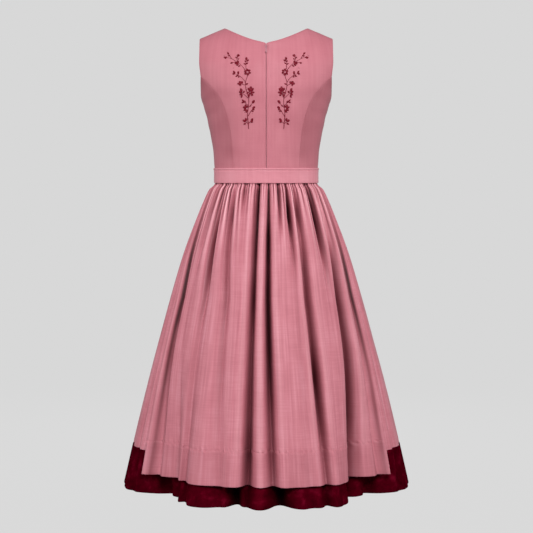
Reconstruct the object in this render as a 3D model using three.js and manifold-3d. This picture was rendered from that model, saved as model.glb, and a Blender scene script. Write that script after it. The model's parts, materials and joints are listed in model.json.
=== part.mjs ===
// A sleeveless dirndl in the form it has when it is worn, in millimetres with +Z up.
// A lined bodice of seven panels closes at the centre back with a concealed zip. A full skirt with a velvet
// border is gathered to it at the waist. Over the skirt lies an overskirt of two gathered panels, which hang
// from one waistband and leave the skirt bare at both sides.
// The wearer faces +Y, so the zip is at -Y. The origin is where the shoulders carry the garment: midway
// between the neck ends of the two shoulder seams.

import * as THREE from "three";
import { mergeVertices } from "three/addons/utils/BufferGeometryUtils.js";
import Module from "manifold-3d";

// Heights of the lines that a tailor would chalk
const SHOULDER_TIP_Z = -26;
const BACK_NECK_Z = -42;
const FRONT_NECK_Z = -135;
const ARMHOLE_SEAM_Z = -122;
const UNDERARM_Z = -181;
const BAND_TOP_Z = -347.5;
const WAIST_Z = -366;
const BAND_BOTTOM_Z = -385;
const BORDER_SEAM_Z = -1038;
const OVERSKIRT_HEM_Z = -1092;
const HEM_Z = -1142;

// Half widths across the shoulders, and the cloths
const NECK_POINT_X = 103;
const SHOULDER_TIP_X = 166;
const BODICE_CLOTH = 2;
const BAND_CLOTH = 2.2;
const SKIRT_CLOTH = 1.6;
const OVERSKIRT_CLOTH = 1.5;
const VELVET = 2.2;
const SEAM_GAP = 0.4;
const ZIP_SLIT = 1.6;

// The body's outline under the bodice: half the width, and how far the back and the front stand from the
// shoulder line. Above the underarm the widths are those of a trunk that runs on into the upper arms.
const TRUNK = [
  { z: 0, half: 194, back: 96, front: 88 },
  { z: -50, half: 192, back: 98, front: 91 },
  { z: -100, half: 186, back: 100, front: 97 },
  { z: -150, half: 170, back: 100, front: 103 },
  { z: -181, half: 159.5, back: 98, front: 105 },
  { z: -218, half: 150, back: 94, front: 104 },
  { z: -258, half: 140, back: 90, front: 99 },
  { z: -298, half: 133.5, back: 86.5, front: 94 },
  { z: -335, half: 129.2, back: 84, front: 92 },
  { z: WAIST_Z, half: 127.5, back: 83, front: 91.5 },
];
const BUST = { x: 80, z: -198, rise: 25, across: 44, above: 62, below: 46 };
const UPPER_TRUNK_Z = -150;
const SHOULDER_ROUND = 1.7;

// The princess seams, from the waist to the armhole: half the distance between the left and right one
const BACK_SEAM = [
  { z: WAIST_Z, x: 80 },
  { z: -300, x: 83 },
  { z: -258, x: 88 },
  { z: -220, x: 95.5 },
  { z: -186, x: 108 },
  { z: -158, x: 127 },
  { z: -134, x: 150 },
  { z: ARMHOLE_SEAM_Z, x: 163.5 },
];
const FRONT_SEAM = [
  { z: WAIST_Z, x: 70 },
  { z: -300, x: 73 },
  { z: -240, x: 80 },
  { z: -198, x: 90 },
  { z: -165, x: 112 },
  { z: -138, x: 142 },
  { z: ARMHOLE_SEAM_Z, x: 163.5 },
];

// The armhole's edge above the princess seams: half the distance across
const ARMHOLE = [
  { z: ARMHOLE_SEAM_Z, x: 163.5 },
  { z: -85, x: 166 },
  { z: SHOULDER_TIP_Z, x: SHOULDER_TIP_X },
];

// The skirt's outline round its ridges
const SKIRT = [
  { z: WAIST_Z, half: 131, back: 86.8, front: 95.3 },
  { z: BAND_BOTTOM_Z, half: 131, back: 86.8, front: 95.3 },
  { z: -400, half: 142.5, back: 99, front: 107 },
  { z: -437, half: 160, back: 117, front: 123 },
  { z: -477, half: 176, back: 134, front: 138 },
  { z: -557, half: 206, back: 162, front: 165 },
  { z: -637, half: 231, back: 189, front: 189 },
  { z: -757, half: 265, back: 228, front: 222 },
  { z: -877, half: 297, back: 264, front: 252 },
  { z: BORDER_SEAM_Z, half: 336, back: 313, front: 292 },
  { z: HEM_Z, half: 360, back: 346, front: 320 },
];

// Folds that run from the gathers towards the hem. An angle is measured round the skirt from the centre back,
// as an ellipse's own parameter. Mid names the fold's lane of cloth, whose angle is mid and drift together at mid
// height; waist and hem say where it lies at those heights. The depths say how far the cloth is drawn in just
// below the waist, at mid height, at the overskirt's hem, and at the border's hem. The width is half the
// fold's opening, in degrees at mid height.
const BACK_FOLDS = [
  { waist: -74, mid: -57, hem: -56, drift: -4, top: 5, deep: 15, low: 14, border: 16, width: 2.6 },
  { waist: -58, mid: -47, hem: -43, drift: -3, top: 6, deep: 5, low: 7, border: 9, width: 2.8 },
  { waist: -48, mid: -37, hem: -37, drift: -2, top: 7, deep: 7, low: 21, border: 26, width: 3.0 },
  { waist: -38, mid: -23, hem: -19, drift: -1, top: 6, deep: 8, low: 8, border: 18, width: 3.0 },
  { waist: -24, mid: -15.5, hem: -14, drift: 0, top: 5, deep: 1, low: 1, border: 2, width: 2.6 },
  { waist: -7.5, mid: -8, hem: -8, drift: 0, top: 7, deep: 19, low: 28, border: 16, width: 2.8 },
  { waist: 3.5, mid: 1, hem: 3, drift: 0, top: 6, deep: 21, low: 20, border: 12, width: 2.6 },
  { waist: 14, mid: 10, hem: 11, drift: 0, top: 5, deep: 1, low: 1, border: 2, width: 2.6 },
  { waist: 22, mid: 17, hem: 18, drift: 1, top: 7, deep: 4, low: 5, border: 10, width: 2.8 },
  { waist: 31, mid: 24, hem: 25.5, drift: 1.5, top: 5, deep: 15, low: 12, border: 22, width: 2.6 },
  { waist: 49, mid: 38, hem: 32, drift: 2.5, top: 8, deep: 2, low: 1, border: 2, width: 2.8 },
  { waist: 63, mid: 46, hem: 40, drift: 3, top: 4, deep: 19, low: 28, border: 28, width: 3.2 },
  { waist: 73, mid: 58, hem: 58, drift: 5, top: 5, deep: 13, low: 12, border: 15, width: 2.6 },
];
const SIDE_FOLDS = [
  { waist: 84, mid: 72, hem: 71, drift: 2, top: 3, deep: 6, low: 9, border: 8, width: 2.8 },
  { waist: 88, mid: 85, hem: 84, drift: 1, top: 3, deep: 3, low: 5, border: 5, width: 3.0 },
  { waist: 92, mid: 97, hem: 98, drift: -1, top: 3, deep: 8, low: 12, border: 11, width: 3.0 },
  { waist: 96, mid: 109, hem: 110, drift: -2.5, top: 3, deep: 5, low: 6, border: 6, width: 2.8 },
];
const FRONT_FOLDS = [
  { waist: 114, mid: 122, hem: 123, drift: -3, top: 5, deep: 13, low: 15, border: 20, width: 2.6 },
  { waist: 127, mid: 132, hem: 136, drift: 0, top: 6, deep: 6, low: 8, border: 10, width: 2.8 },
  { waist: 139, mid: 143, hem: 142, drift: 0, top: 7, deep: 9, low: 19, border: 32, width: 3.0 },
  { waist: 151, mid: 155, hem: 158, drift: 0, top: 6, deep: 17, low: 12, border: 18, width: 2.8 },
  { waist: 163, mid: 165, hem: 167, drift: 0, top: 6, deep: 3, low: 4, border: 6, width: 2.8 },
  { waist: 173, mid: 174, hem: 174, drift: 0, top: 7, deep: 18, low: 23, border: 36, width: 2.8 },
  { waist: 184, mid: 185, hem: 184, drift: 0, top: 6, deep: 5, low: 7, border: 10, width: 2.8 },
  { waist: 196, mid: 194, hem: 195, drift: 0, top: 6, deep: 19, low: 15, border: 24, width: 2.6 },
  { waist: 208, mid: 206, hem: 204, drift: 0, top: 7, deep: 6, low: 9, border: 14, width: 3.0 },
  { waist: 220, mid: 215, hem: 217, drift: 0, top: 6, deep: 16, low: 22, border: 38, width: 3.0 },
  { waist: 233, mid: 227, hem: 226, drift: 0, top: 7, deep: 5, low: 6, border: 8, width: 2.8 },
  { waist: 246, mid: 238, hem: 237, drift: 3, top: 5, deep: 14, low: 15, border: 20, width: 2.6 },
];
// Broad hollows between the lobes of the hem: the lane in their middle, half the opening in degrees, how far
// they draw the border's hem in, the share of the length where they begin, and whether the overskirt has them
const HOLLOWS = [
  { mid: -48, width: 8.5, depth: 44, from: 0.5, overskirt: true },
  { mid: -58, width: 9.5, depth: 46, from: 0.87, overskirt: false },
  { mid: -14.5, width: 4.6, depth: 62, from: 0.87, overskirt: false },
  { mid: 5, width: 4.2, depth: 58, from: 0.87, overskirt: false },
  { mid: 58, width: 9.5, depth: 46, from: 0.87, overskirt: false },
  { mid: 48, width: 8.5, depth: 44, from: 0.5, overskirt: true },
  { mid: 133, width: 8, depth: 34, from: 0.5, overskirt: true },
  { mid: 160, width: 5, depth: 34, from: 0.87, overskirt: false },
  { mid: 189, width: 4.6, depth: 44, from: 0.87, overskirt: false },
  { mid: 228, width: 8.5, depth: 36, from: 0.5, overskirt: true },
];
// The overskirt's side edges, as the same angles
const OVERSKIRT_EDGE = { waist: 80, mid: 61.5, hem: 61.5, drift: 5.5 };
const MID_SHARE = 0.38;
const TOP_SHARE = 0.07;

// Fine gathers below the waist, which run out within a hand's width
const GATHER = { rise: 1.7, from: 0.045, fadesBy: 0.17 };
// How far the skirt lies inside the overskirt's outline: under the waistband, below it, further down, and at
// the hem
const TUCK = { band: 3.9, layers: 5.2, low: 8.5, hem: 2 };

// The zip's slider and pull tab, in their own frame: x across, y out from the cloth, z up along it
const SLIDER = { z: -51, width: 4.4, length: 9, thick: 1.8, bridge: 1, clear: 0.35 };
const BRIDGE = { length: 7.6, height: 2.9, bar: 0.9, eye: 2 };
const TAB = { length: 18, width: 4.2, neck: 3.4, thick: 1, slotWidth: 1.7, slotLength: 4.3 };

const wasm = await Module();
wasm.setup();

const clamp = (value, low, high) => Math.min(high, Math.max(low, value));
const mix = (a, b, share) => a + (b - a) * share;
const radians = (degrees) => (degrees * Math.PI) / 180;

/** Eases from 0 at low to 1 at high. */
function ease(value, low, high) {
  const share = clamp((value - low) / (high - low), 0, 1);
  return share * share * (3 - 2 * share);
}

/** A smooth curve through a table's rows that never overshoots them: gives column y for a value of column x. */
function curve(table, x, y) {
  const rows = [...table].sort((a, b) => a[x] - b[x]);
  const slopes = rows.slice(1).map((row, i) => (row[y] - rows[i][y]) / (row[x] - rows[i][x]));
  const tangents = rows.map((row, i) => {
    const before = slopes[Math.max(0, i - 1)];
    const after = slopes[Math.min(slopes.length - 1, i)];
    return before * after <= 0 ? 0 : (2 * before * after) / (before + after);
  });
  return (value) => {
    const at = clamp(rows.findIndex((row) => row[x] > value) - 1, 0, rows.length - 2);
    const i = value >= rows[rows.length - 1][x] ? rows.length - 2 : at;
    const span = rows[i + 1][x] - rows[i][x];
    const s = clamp((value - rows[i][x]) / span, 0, 1);
    return (
      rows[i][y] * (1 + 2 * s) * (1 - s) ** 2 +
      tangents[i] * span * s * (1 - s) ** 2 +
      rows[i + 1][y] * s * s * (3 - 2 * s) -
      tangents[i + 1] * span * s * s * (1 - s)
    );
  };
}

/** Straight lines between pairs of numbers: gives the second of a pair for a value of the first. */
function polyline(pairs, value) {
  const after = pairs.findIndex(([from]) => from >= value);
  const i = after < 0 ? pairs.length - 1 : Math.max(1, after);
  const [[x0, y0], [x1, y1]] = [pairs[i - 1], pairs[i]];
  return mix(y0, y1, (value - x0) / (x1 - x0));
}

/** The point of a surface at (u, v), moved by a distance along its outward normal. Columns run anticlockwise
 *  seen from above and rows run downwards, so that across and down give the outward side. */
function offsetPoint(surface, u, v, distance) {
  const point = surface(u, v);
  const step = 1e-3;
  const across = surface(u + step, v).sub(surface(u - step, v));
  const down = surface(u, v + step).sub(surface(u, v - step));
  return point.addScaledVector(down.cross(across).normalize(), distance);
}

/** Triangles between two rows of points. The upper row has as many points as the lower, or one more between
 *  each pair of them. */
function strip(upper, lower, put) {
  const doubled = upper.length > lower.length;
  for (let i = 0; i + 1 < lower.length; i++) {
    if (doubled) {
      put(upper[2 * i], lower[i], upper[2 * i + 1]);
      put(upper[2 * i + 1], lower[i], lower[i + 1]);
      put(upper[2 * i + 1], lower[i + 1], upper[2 * i + 2]);
    } else {
      put(upper[i], lower[i], upper[i + 1]);
      put(upper[i + 1], lower[i], lower[i + 1]);
    }
  }
}

/** One closed wall between an outer and an inner net of points, both as rows from the top down. A ring's rows
 *  end with their first point again and have no side edges. */
function wallGeometry(outer, inner, ring = false) {
  const positions = [];
  const put = (a, b, c) => positions.push(...a.toArray(), ...b.toArray(), ...c.toArray());
  const flipped = (a, b, c) => put(a, c, b);
  outer.slice(1).forEach((row, i) => strip(outer[i], row, put));
  inner.slice(1).forEach((row, i) => strip(inner[i], row, flipped));
  strip(inner[0], outer[0], put);
  strip(outer[outer.length - 1], inner[inner.length - 1], put);
  if (!ring) {
    const first = (rows) => rows.map((row) => row[0]);
    const last = (rows) => rows.map((row) => row[row.length - 1]);
    strip(first(outer), first(inner), put);
    strip(last(inner), last(outer), put);
  }
  return new THREE.BufferGeometry().setAttribute("position", new THREE.Float32BufferAttribute(positions, 3));
}

// The bodice

const trunkHalf = curve(TRUNK, "z", "half");
const trunkBack = curve(TRUNK, "z", "back");
const trunkFront = curve(TRUNK, "z", "front");
const seamX = { back: curve(BACK_SEAM, "z", "x"), front: curve(FRONT_SEAM, "z", "x") };
const armholeX = curve(ARMHOLE, "z", "x");
const SHOULDER_SLOPE = SHOULDER_TIP_Z / (SHOULDER_TIP_X - NECK_POINT_X);

/** How full the trunk still is at a point: 1 below the shoulder blades, 0 on the shoulder line. */
function fullness(x, z) {
  const top = SHOULDER_SLOPE * (Math.abs(x) - NECK_POINT_X);
  const climb = clamp((z - UPPER_TRUNK_Z) / (top - UPPER_TRUNK_Z), 0, 1);
  return (1 - climb ** SHOULDER_ROUND) ** (1 / SHOULDER_ROUND);
}

/** How far the bust stands out of the trunk's front. */
function bustRise(x, z) {
  const tall = z > BUST.z ? BUST.above : BUST.below;
  const mound = (centre) => Math.exp(-(((x - centre) / BUST.across) ** 2 + ((z - BUST.z) / tall) ** 2));
  return BUST.rise * (mound(BUST.x) + mound(-BUST.x));
}

/** How far the trunk's surface stands from the middle at a width and height, on its back or front side. */
function trunkDepth(side, x, z) {
  const round = Math.sqrt(Math.max(0, 1 - (x / trunkHalf(z)) ** 2));
  const full = side === "back" ? trunkBack(z) : trunkFront(z) + bustRise(x, z);
  return SEAM_GAP / 2 + full * round * fullness(x, z);
}

/** A point under the trunk's surface at a width and height, by a depth along the surface's normal. The front
 *  and the back stay apart at the side seams and at the shoulder seams. */
function trunkPoint(side, x, z, depth = 0) {
  const facing = side === "back" ? -1 : 1;
  const point = new THREE.Vector3(x, facing * trunkDepth(side, x, z), z);
  if (depth === 0) return point;
  const step = 0.2;
  const nearX = Math.sign(x) * Math.min(Math.abs(x), trunkHalf(z) - 2 * step);
  const nearZ = Math.min(z, SHOULDER_SLOPE * (Math.abs(x) - NECK_POINT_X) - 2 * step);
  const rise = (dx, dz) => trunkDepth(side, nearX + dx, nearZ + dz) - trunkDepth(side, nearX - dx, nearZ - dz);
  const normal = new THREE.Vector3(-rise(step, 0) / (2 * step), facing, -rise(0, step) / (2 * step)).normalize();
  point.addScaledVector(normal, -depth);
  point.y = facing * Math.max(SEAM_GAP / 2, facing * point.y);
  return point;
}

/** Half the width of a centre panel at a height: up the princess seam and then the armhole's edge. */
function centreEdgeX(side, z) {
  return z < ARMHOLE_SEAM_Z ? seamX[side](z) : armholeX(z);
}

/** The top edge of a centre panel, from the centre line to the shoulder tip, as a width and height. */
function topEdge(side, u) {
  if (u > NECK_SHARE) {
    const along = (u - NECK_SHARE) / (1 - NECK_SHARE);
    return { x: mix(NECK_POINT_X, SHOULDER_TIP_X, along), z: mix(0, SHOULDER_TIP_Z, along) };
  }
  const s = u / NECK_SHARE;
  if (side === "back") return { x: NECK_POINT_X * s, z: polyline(BACK_NECKLINE, NECK_POINT_X * s) };
  const turn = radians(90 * s);
  return {
    x: NECK_POINT_X * Math.sin(turn) ** SCOOP_ROUND,
    z: FRONT_NECK_Z * Math.cos(turn) ** SCOOP_ROUND,
  };
}

const NECK_SHARE = 0.625;
const BACK_NECKLINE = [[0, BACK_NECK_Z], [12, -38.2], [25, -35], [44, -28.6], [76, -14.4], [NECK_POINT_X, 0]];
const SCOOP_ROUND = 0.75;
const CENTRE_ROWS = [-26, -45, -70, -97, -122, -140, -160, -190, -225, -262, -300, -335, -366];
const SIDE_ROWS = CENTRE_ROWS.filter((z) => z <= ARMHOLE_SEAM_Z).map(
  (z) => (z - WAIST_Z) / (ARMHOLE_SEAM_Z - WAIST_Z),
);
const SIDE_COLUMNS = [0, 0.22, 0.42, 0.62, 0.82, 1];

/** A centre panel's surface: u runs from the centre line, 0, to its side edge, 1, and v is the side edge's
 *  height. The net is stretched between the four edges. */
function centrePanelPoint(side, u, v, depth) {
  const climb = (v - WAIST_Z) / (SHOULDER_TIP_Z - WAIST_Z);
  const neckZ = side === "back" ? BACK_NECK_Z : FRONT_NECK_Z;
  const across = Math.abs(u);
  const top = topEdge(side, clamp(across, 0, 1));
  const middleZ = mix(WAIST_Z, neckZ, climb);
  const z = mix(middleZ, v, across) + climb * (top.z - mix(neckZ, SHOULDER_TIP_Z, across));
  const edgeX = across * centreEdgeX(side, v) + climb * (top.x - across * SHOULDER_TIP_X);
  const slit = side === "back" ? ((1 - across) * ZIP_SLIT) / 2 : 0;
  const x = edgeX + slit - (across * SEAM_GAP) / 2;
  return trunkPoint(side, u < 0 ? -x : x, z, depth);
}

/** A side panel's surface, from the princess seam, u = 0, to the side seam, u = 1. v runs from the waist, 0, to
 *  the armhole, 1. */
function sidePanelPoint(side, share, v, depth) {
  const u = mix(SIDE_PANEL_START, 1, share);
  const seamZ = mix(WAIST_Z, ARMHOLE_SEAM_Z, v);
  const sideZ = mix(WAIST_Z, UNDERARM_Z, v);
  const z = mix(seamZ, sideZ, u ** SIDE_DIP);
  const start = Math.asin(clamp(seamX[side](seamZ) / trunkHalf(seamZ), 0, 1));
  const turn = mix(start, Math.PI / 2, u);
  return trunkPoint(side, trunkHalf(z) * Math.sin(turn), z, depth);
}

const SIDE_DIP = 0.8;
const SIDE_PANEL_START = 0.004;

/** One panel of the bodice, right or left. The left one is the right one's mirror image. */
function bodicePanel(surface, columns, rows, mirrored = false) {
  const net = (depth) => {
    const points = rows.map((v) => columns.map((u) => surface(u, v, depth)));
    return mirrored ? points.map((row) => row.map((p) => new THREE.Vector3(-p.x, p.y, p.z)).reverse()) : points;
  };
  return wallGeometry(net(0), net(BODICE_CLOTH));
}

// The skirt, its border and the overskirt

const skirtHalf = curve(SKIRT, "z", "half");
const skirtBack = curve(SKIRT, "z", "back");
const skirtFront = curve(SKIRT, "z", "front");

/** A fold or edge on the other side of the centre line. */
const mirroredFold = (f) => ({ ...f, waist: -f.waist, mid: -f.mid, hem: -f.hem, drift: -f.drift });
const byMid = (a, b) => a.mid - b.mid;
const FOLDS = [...BACK_FOLDS, ...SIDE_FOLDS, ...SIDE_FOLDS.map(mirroredFold), ...FRONT_FOLDS].sort(byMid);

/** A row moved round the skirt. */
const turnedBy = (f, turn) => ({ ...f, waist: f.waist + turn, mid: f.mid + turn, hem: f.hem + turn });
const EDGE_ANGLES = [0, 180].flatMap((turn) => [
  turnedBy(OVERSKIRT_EDGE, turn),
  turnedBy(mirroredFold(OVERSKIRT_EDGE), turn),
]);
const ANCHORS = [-360, 0, 360]
  .flatMap((turn) => [...FOLDS, ...EDGE_ANGLES].map((f) => turnedBy(f, turn)))
  .sort(byMid);
const WAIST_ANGLES = ANCHORS.map((f) => [f.mid, f.waist]);
const MIDDLE_ANGLES = ANCHORS.map((f) => [f.mid, f.mid + f.drift]);
const HEM_ANGLES = ANCHORS.map((f) => [f.mid, f.hem]);

/** How far down the skirt a height is: 0 at the waist and 1 at the hem. */
const shareAt = (z) => (WAIST_Z - z) / (WAIST_Z - HEM_Z);
const BAND_SHARE = shareAt(BAND_BOTTOM_Z);

/** The angle round the skirt of a lane of cloth. Lanes spread at once below the waist, and evenly at the sides. */
function angleAt(lane, share) {
  const middle = polyline(MIDDLE_ANGLES, lane);
  if (share > MID_SHARE) return mix(middle, polyline(HEM_ANGLES, lane), (share - MID_SHARE) / (1 - MID_SHARE));
  const evenness = 0.5 + 0.5 * Math.abs(Math.sin(radians(lane)));
  return mix(polyline(WAIST_ANGLES, lane), middle, (share / MID_SHARE) ** evenness);
}

/** A fold's depth at a share of the skirt's length, in the skirt or in the overskirt. */
function foldDepth(fold, share, layer) {
  const low = layer === "skirt" ? mix(fold.low, fold.border, ease(share, 0.85, 1)) : fold.low;
  return polyline([[0, 0.2 * fold.top], [TOP_SHARE, fold.top], [MID_SHARE, fold.deep], [1, low]], share);
}

/** How far from a fold's middle a lane lies, from 1 there to 0 well outside the fold. */
function nearness(lane, fold) {
  const apart = ((((lane - fold.mid) % 360) + 540) % 360) - 180;
  return Math.exp(-((apart / fold.width) ** 2));
}

/** How far all the folds and hollows together draw the cloth in. */
function drawnIn(lane, share, layer) {
  const folds = FOLDS.map((fold) => foldDepth(fold, share, layer) * nearness(lane, fold));
  const hollows = HOLLOWS.filter((hollow) => layer === "skirt" || hollow.overskirt).map(
    (hollow) => hollow.depth * ease(share, hollow.from, 1) * nearness(lane, hollow),
  );
  return [...folds, ...hollows].reduce((sum, depth) => sum + depth, 0);
}

/** How far a lane lies under the overskirt: 1 well inside its side edge, and 0 where the skirt is bare. */
function coverOf(lane) {
  const fromSide = Math.abs(((lane % 180) + 180) % 180 - 90);
  return ease(fromSide, SIDE_SPREAD - 9, SIDE_SPREAD - 2);
}

const SIDE_SPREAD = 90 - OVERSKIRT_EDGE.mid;

/** How many lanes lie between two folds' floors, an odd number. */
function lanesInGap(layer, from, to) {
  const gap = to - from;
  if (layer === "skirt" && coverOf(from) + coverOf(to) > 1) return gap < 11 ? 1 : 3;
  return gap < 7.5 ? 1 : gap < 16 ? 3 : 5;
}

/** The lanes of a stretch of cloth: its two ends, the floor of each fold in it, and lanes between these, so
 *  that the floors have odd places in the list. */
function lanesBetween(layer, from, to) {
  const floors = FOLDS.flatMap((f) => [f.mid, f.mid + 360, f.mid - 360])
    .filter((mid) => mid > from + 1 && mid < to - 1)
    .sort((a, b) => a - b);
  const stops = [from, ...floors, to];
  return stops.slice(1).flatMap((stop, i) => {
    const atEnd = i === 0 || i === stops.length - 2;
    const between = atEnd ? (stop - stops[i] < 6 ? 0 : 2) : lanesInGap(layer, stops[i], stop);
    const inner = Array.from({ length: between }, (_, k) => mix(stops[i], stop, (k + 1) / (between + 1)));
    return i === 0 ? [from, ...inner, stop] : [...inner, stop];
  });
}

/** The fine gathers' rise at a lane: a ridge at each even place of the list of lanes and a trough between. */
function gatherRise(lanes, lane, share) {
  const places = lanes.map((value, i) => [value, i]);
  const strength = ease(share, BAND_SHARE, GATHER.from) * (1 - ease(share, GATHER.from, GATHER.fadesBy));
  return GATHER.rise * strength * Math.cos(Math.PI * polyline(places, lane));
}

/** How far the skirt lies inside the overskirt's outline at a lane. It hangs from inside the waistband. */
function skirtInset(lane, share) {
  const gathers = 2 * GATHER.rise * (1 - ease(share, GATHER.from, GATHER.fadesBy));
  const hanging = mix(TUCK.layers + gathers, TUCK.low, ease(share, 0.4, 0.8));
  const under = mix(hanging, TUCK.hem, ease(share, 0.94, 1)) * coverOf(lane);
  return mix(TUCK.band, under, ease(share, BAND_SHARE + 0.002, BAND_SHARE + 0.025));
}

/** The surface of the skirt or overskirt at a lane and height. */
function skirtPoint(layer, lanes, lane, z) {
  const share = shareAt(z);
  const turn = radians(angleAt(lane, share));
  const depth = Math.cos(turn) > 0 ? skirtBack(z) : skirtFront(z);
  const out = new THREE.Vector2(Math.sin(turn) / skirtHalf(z), -Math.cos(turn) / depth).normalize();
  const inset = layer === "skirt" ? skirtInset(lane, share) : 0;
  const gathered = layer === "skirt" ? 1 - coverOf(lane) : 1;
  const rise = gathered * gatherRise(lanes, lane, share) - drawnIn(lane, share, layer) - inset;
  return new THREE.Vector3(
    skirtHalf(z) * Math.sin(turn) + rise * out.x,
    -depth * Math.cos(turn) + rise * out.y,
    z,
  );
}

/** A panel of gathered cloth between two lanes, a wall under its surface. The first fineRows rows have a lane
 *  more between each pair. The skirt's halves stop short of each other at the side seams. */
function gatheredPanel(layer, from, to, heights, fineRows, thick) {
  const lanes = lanesBetween(layer, from, to);
  const fine = lanes.flatMap((lane, i) => (i === 0 ? [lane] : [mix(lanes[i - 1], lane, 0.5), lane]));
  const surface = (lane, v) => skirtPoint(layer, lanes, lane, -v);
  const facing = from < 0 ? -1 : 1;
  const net = (depth) =>
    heights.map((z, row) =>
      (row < fineRows ? fine : lanes).map((lane) => {
        const point = offsetPoint(surface, lane, -z, -depth);
        if (layer === "skirt" && (lane === from || lane === to)) point.y += (facing * SEAM_GAP) / 2;
        return point;
      }),
    );
  return wallGeometry(net(0), net(thick));
}

/** The waistband: a ring that tapers with the waist, with a stitched edge along its top. */
function bandGeometry() {
  const columns = 72;
  const profile = [
    { z: BAND_TOP_Z, out: BAND_CLOTH },
    { z: BAND_TOP_Z - 5, out: BAND_CLOTH + 0.3 },
    { z: BAND_TOP_Z - 6.5, out: BAND_CLOTH - 0.5 },
    { z: BAND_TOP_Z - 8, out: BAND_CLOTH },
    { z: BAND_BOTTOM_Z, out: BAND_CLOTH + 0.6 },
  ];
  const ringAt = (z, out) => {
    const low = ease(z, WAIST_Z, BAND_TOP_Z);
    const half = mix(128.1, 129.6, low) + out;
    const back = mix(83.8, 85.6, low) + out;
    const front = mix(92.3, 93.8, low) + out;
    return Array.from({ length: columns + 1 }, (_, i) => {
      const turn = (2 * Math.PI * (i % columns)) / columns;
      const depth = Math.cos(turn) > 0 ? back : front;
      return new THREE.Vector3(half * Math.sin(turn), -depth * Math.cos(turn), z);
    });
  };
  const inner = [BAND_TOP_Z, WAIST_Z, BAND_BOTTOM_Z].map((z) => ringAt(z, 0));
  return wallGeometry(profile.map((p) => ringAt(p.z, p.out)), inner, true);
}

/** The zip's tape: a strip inside the centre back, just under the bodice's cloth. */
function zipTapeGeometry() {
  const across = [-7.5, -2.5, 2.5, 7.5];
  const climbs = CENTRE_ROWS.map((v) => (v - WAIST_Z) / (SHOULDER_TIP_Z - WAIST_Z));
  const heights = climbs.map((climb) => clamp(mix(WAIST_Z, BACK_NECK_Z, climb), WAIST_Z + 1, BACK_NECK_Z - 1));
  const depth = BODICE_CLOTH + 0.8;
  const net = (extra) => heights.map((z) => across.map((x) => trunkPoint("back", x, z, depth + extra)));
  return wallGeometry(net(0), net(0.8));
}

/** A closed geometry as a manifold-3d solid. */
function solidOf(geometry) {
  const bare = geometry.index ? geometry.toNonIndexed() : geometry.clone();
  const merged = mergeVertices(
    new THREE.BufferGeometry().setAttribute("position", bare.getAttribute("position")),
    1e-4,
  );
  return new wasm.Manifold(
    new wasm.Mesh({
      numProp: 3,
      vertProperties: merged.attributes.position.array,
      triVerts: new Uint32Array(merged.index.array),
    }),
  );
}

/** A manifold-3d solid as a geometry. */
function geometryOf(solid) {
  const mesh = solid.getMesh();
  return new THREE.BufferGeometry()
    .setAttribute("position", new THREE.BufferAttribute(mesh.vertProperties, 3))
    .setIndex(new THREE.BufferAttribute(mesh.triVerts, 1));
}

/** The slider: a rounded plate on the slit, with a bridge along it that the pull tab hangs from. */
function sliderGeometry() {
  const plate = new THREE.Shape();
  const { width, length, thick, bridge } = SLIDER;
  plate.absellipse(0, 0, width / 2, length / 2, 0, 2 * Math.PI);
  const body = new THREE.ExtrudeGeometry(plate, { depth: thick, bevelEnabled: false, curveSegments: 10 });
  const arch = new THREE.Shape();
  const reach = BRIDGE.length / 2;
  arch.moveTo(-reach, thick - 0.4);
  arch.lineTo(-reach, thick + BRIDGE.eye);
  arch.lineTo(-reach + BRIDGE.bar, thick + BRIDGE.height);
  arch.lineTo(reach - BRIDGE.bar, thick + BRIDGE.height);
  arch.lineTo(reach, thick + BRIDGE.eye);
  arch.lineTo(reach, thick - 0.4);
  arch.lineTo(reach - BRIDGE.bar, thick - 0.4);
  arch.lineTo(reach - BRIDGE.bar, thick + BRIDGE.eye);
  arch.lineTo(-reach + BRIDGE.bar, thick + BRIDGE.eye);
  arch.lineTo(-reach + BRIDGE.bar, thick - 0.4);
  arch.closePath();
  const span = new THREE.ExtrudeGeometry(arch, { depth: bridge, bevelEnabled: false });
  span.translate(0, 0, -bridge / 2);
  // The arch is drawn as (along, out), and the plate as (across, along): both turn to x across, y along, z out
  span.applyMatrix4(new THREE.Matrix4().set(0, 0, 1, 0, 1, 0, 0, 0, 0, 1, 0, 0, 0, 0, 0, 1));
  return geometryOf(solidOf(body).add(solidOf(span)));
}

/** The pull tab, drawn as x across and y along, hanging from its bar at the origin: a drop with a slot. */
function tabGeometry() {
  const { length, width, neck, thick, slotWidth, slotLength } = TAB;
  const bar = 0.5;
  const outline = new THREE.Shape();
  outline.moveTo(-neck / 2, bar);
  outline.lineTo(-neck / 2, -slotLength - 1.4);
  outline.quadraticCurveTo(-neck / 2 + 0.4, -slotLength - 3, -1.1, -length / 2);
  outline.quadraticCurveTo(-width / 2, -length * 0.72, -width / 2, -length + width / 2);
  outline.absarc(0, -length + width / 2, width / 2, Math.PI, 2 * Math.PI, false);
  outline.quadraticCurveTo(width / 2, -length * 0.72, 1.1, -length / 2);
  outline.quadraticCurveTo(neck / 2 - 0.4, -slotLength - 3, neck / 2, -slotLength - 1.4);
  outline.lineTo(neck / 2, bar);
  outline.closePath();
  const slot = new THREE.Path();
  slot.moveTo(-slotWidth / 2, -bar);
  slot.lineTo(slotWidth / 2, -bar);
  slot.lineTo(slotWidth / 2, -bar - slotLength);
  slot.lineTo(-slotWidth / 2, -bar - slotLength);
  slot.closePath();
  outline.holes.push(slot);
  const tab = new THREE.ExtrudeGeometry(outline, { depth: thick, bevelEnabled: false, curveSegments: 6 });
  return tab.translate(0, 0, -thick / 2);
}

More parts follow.
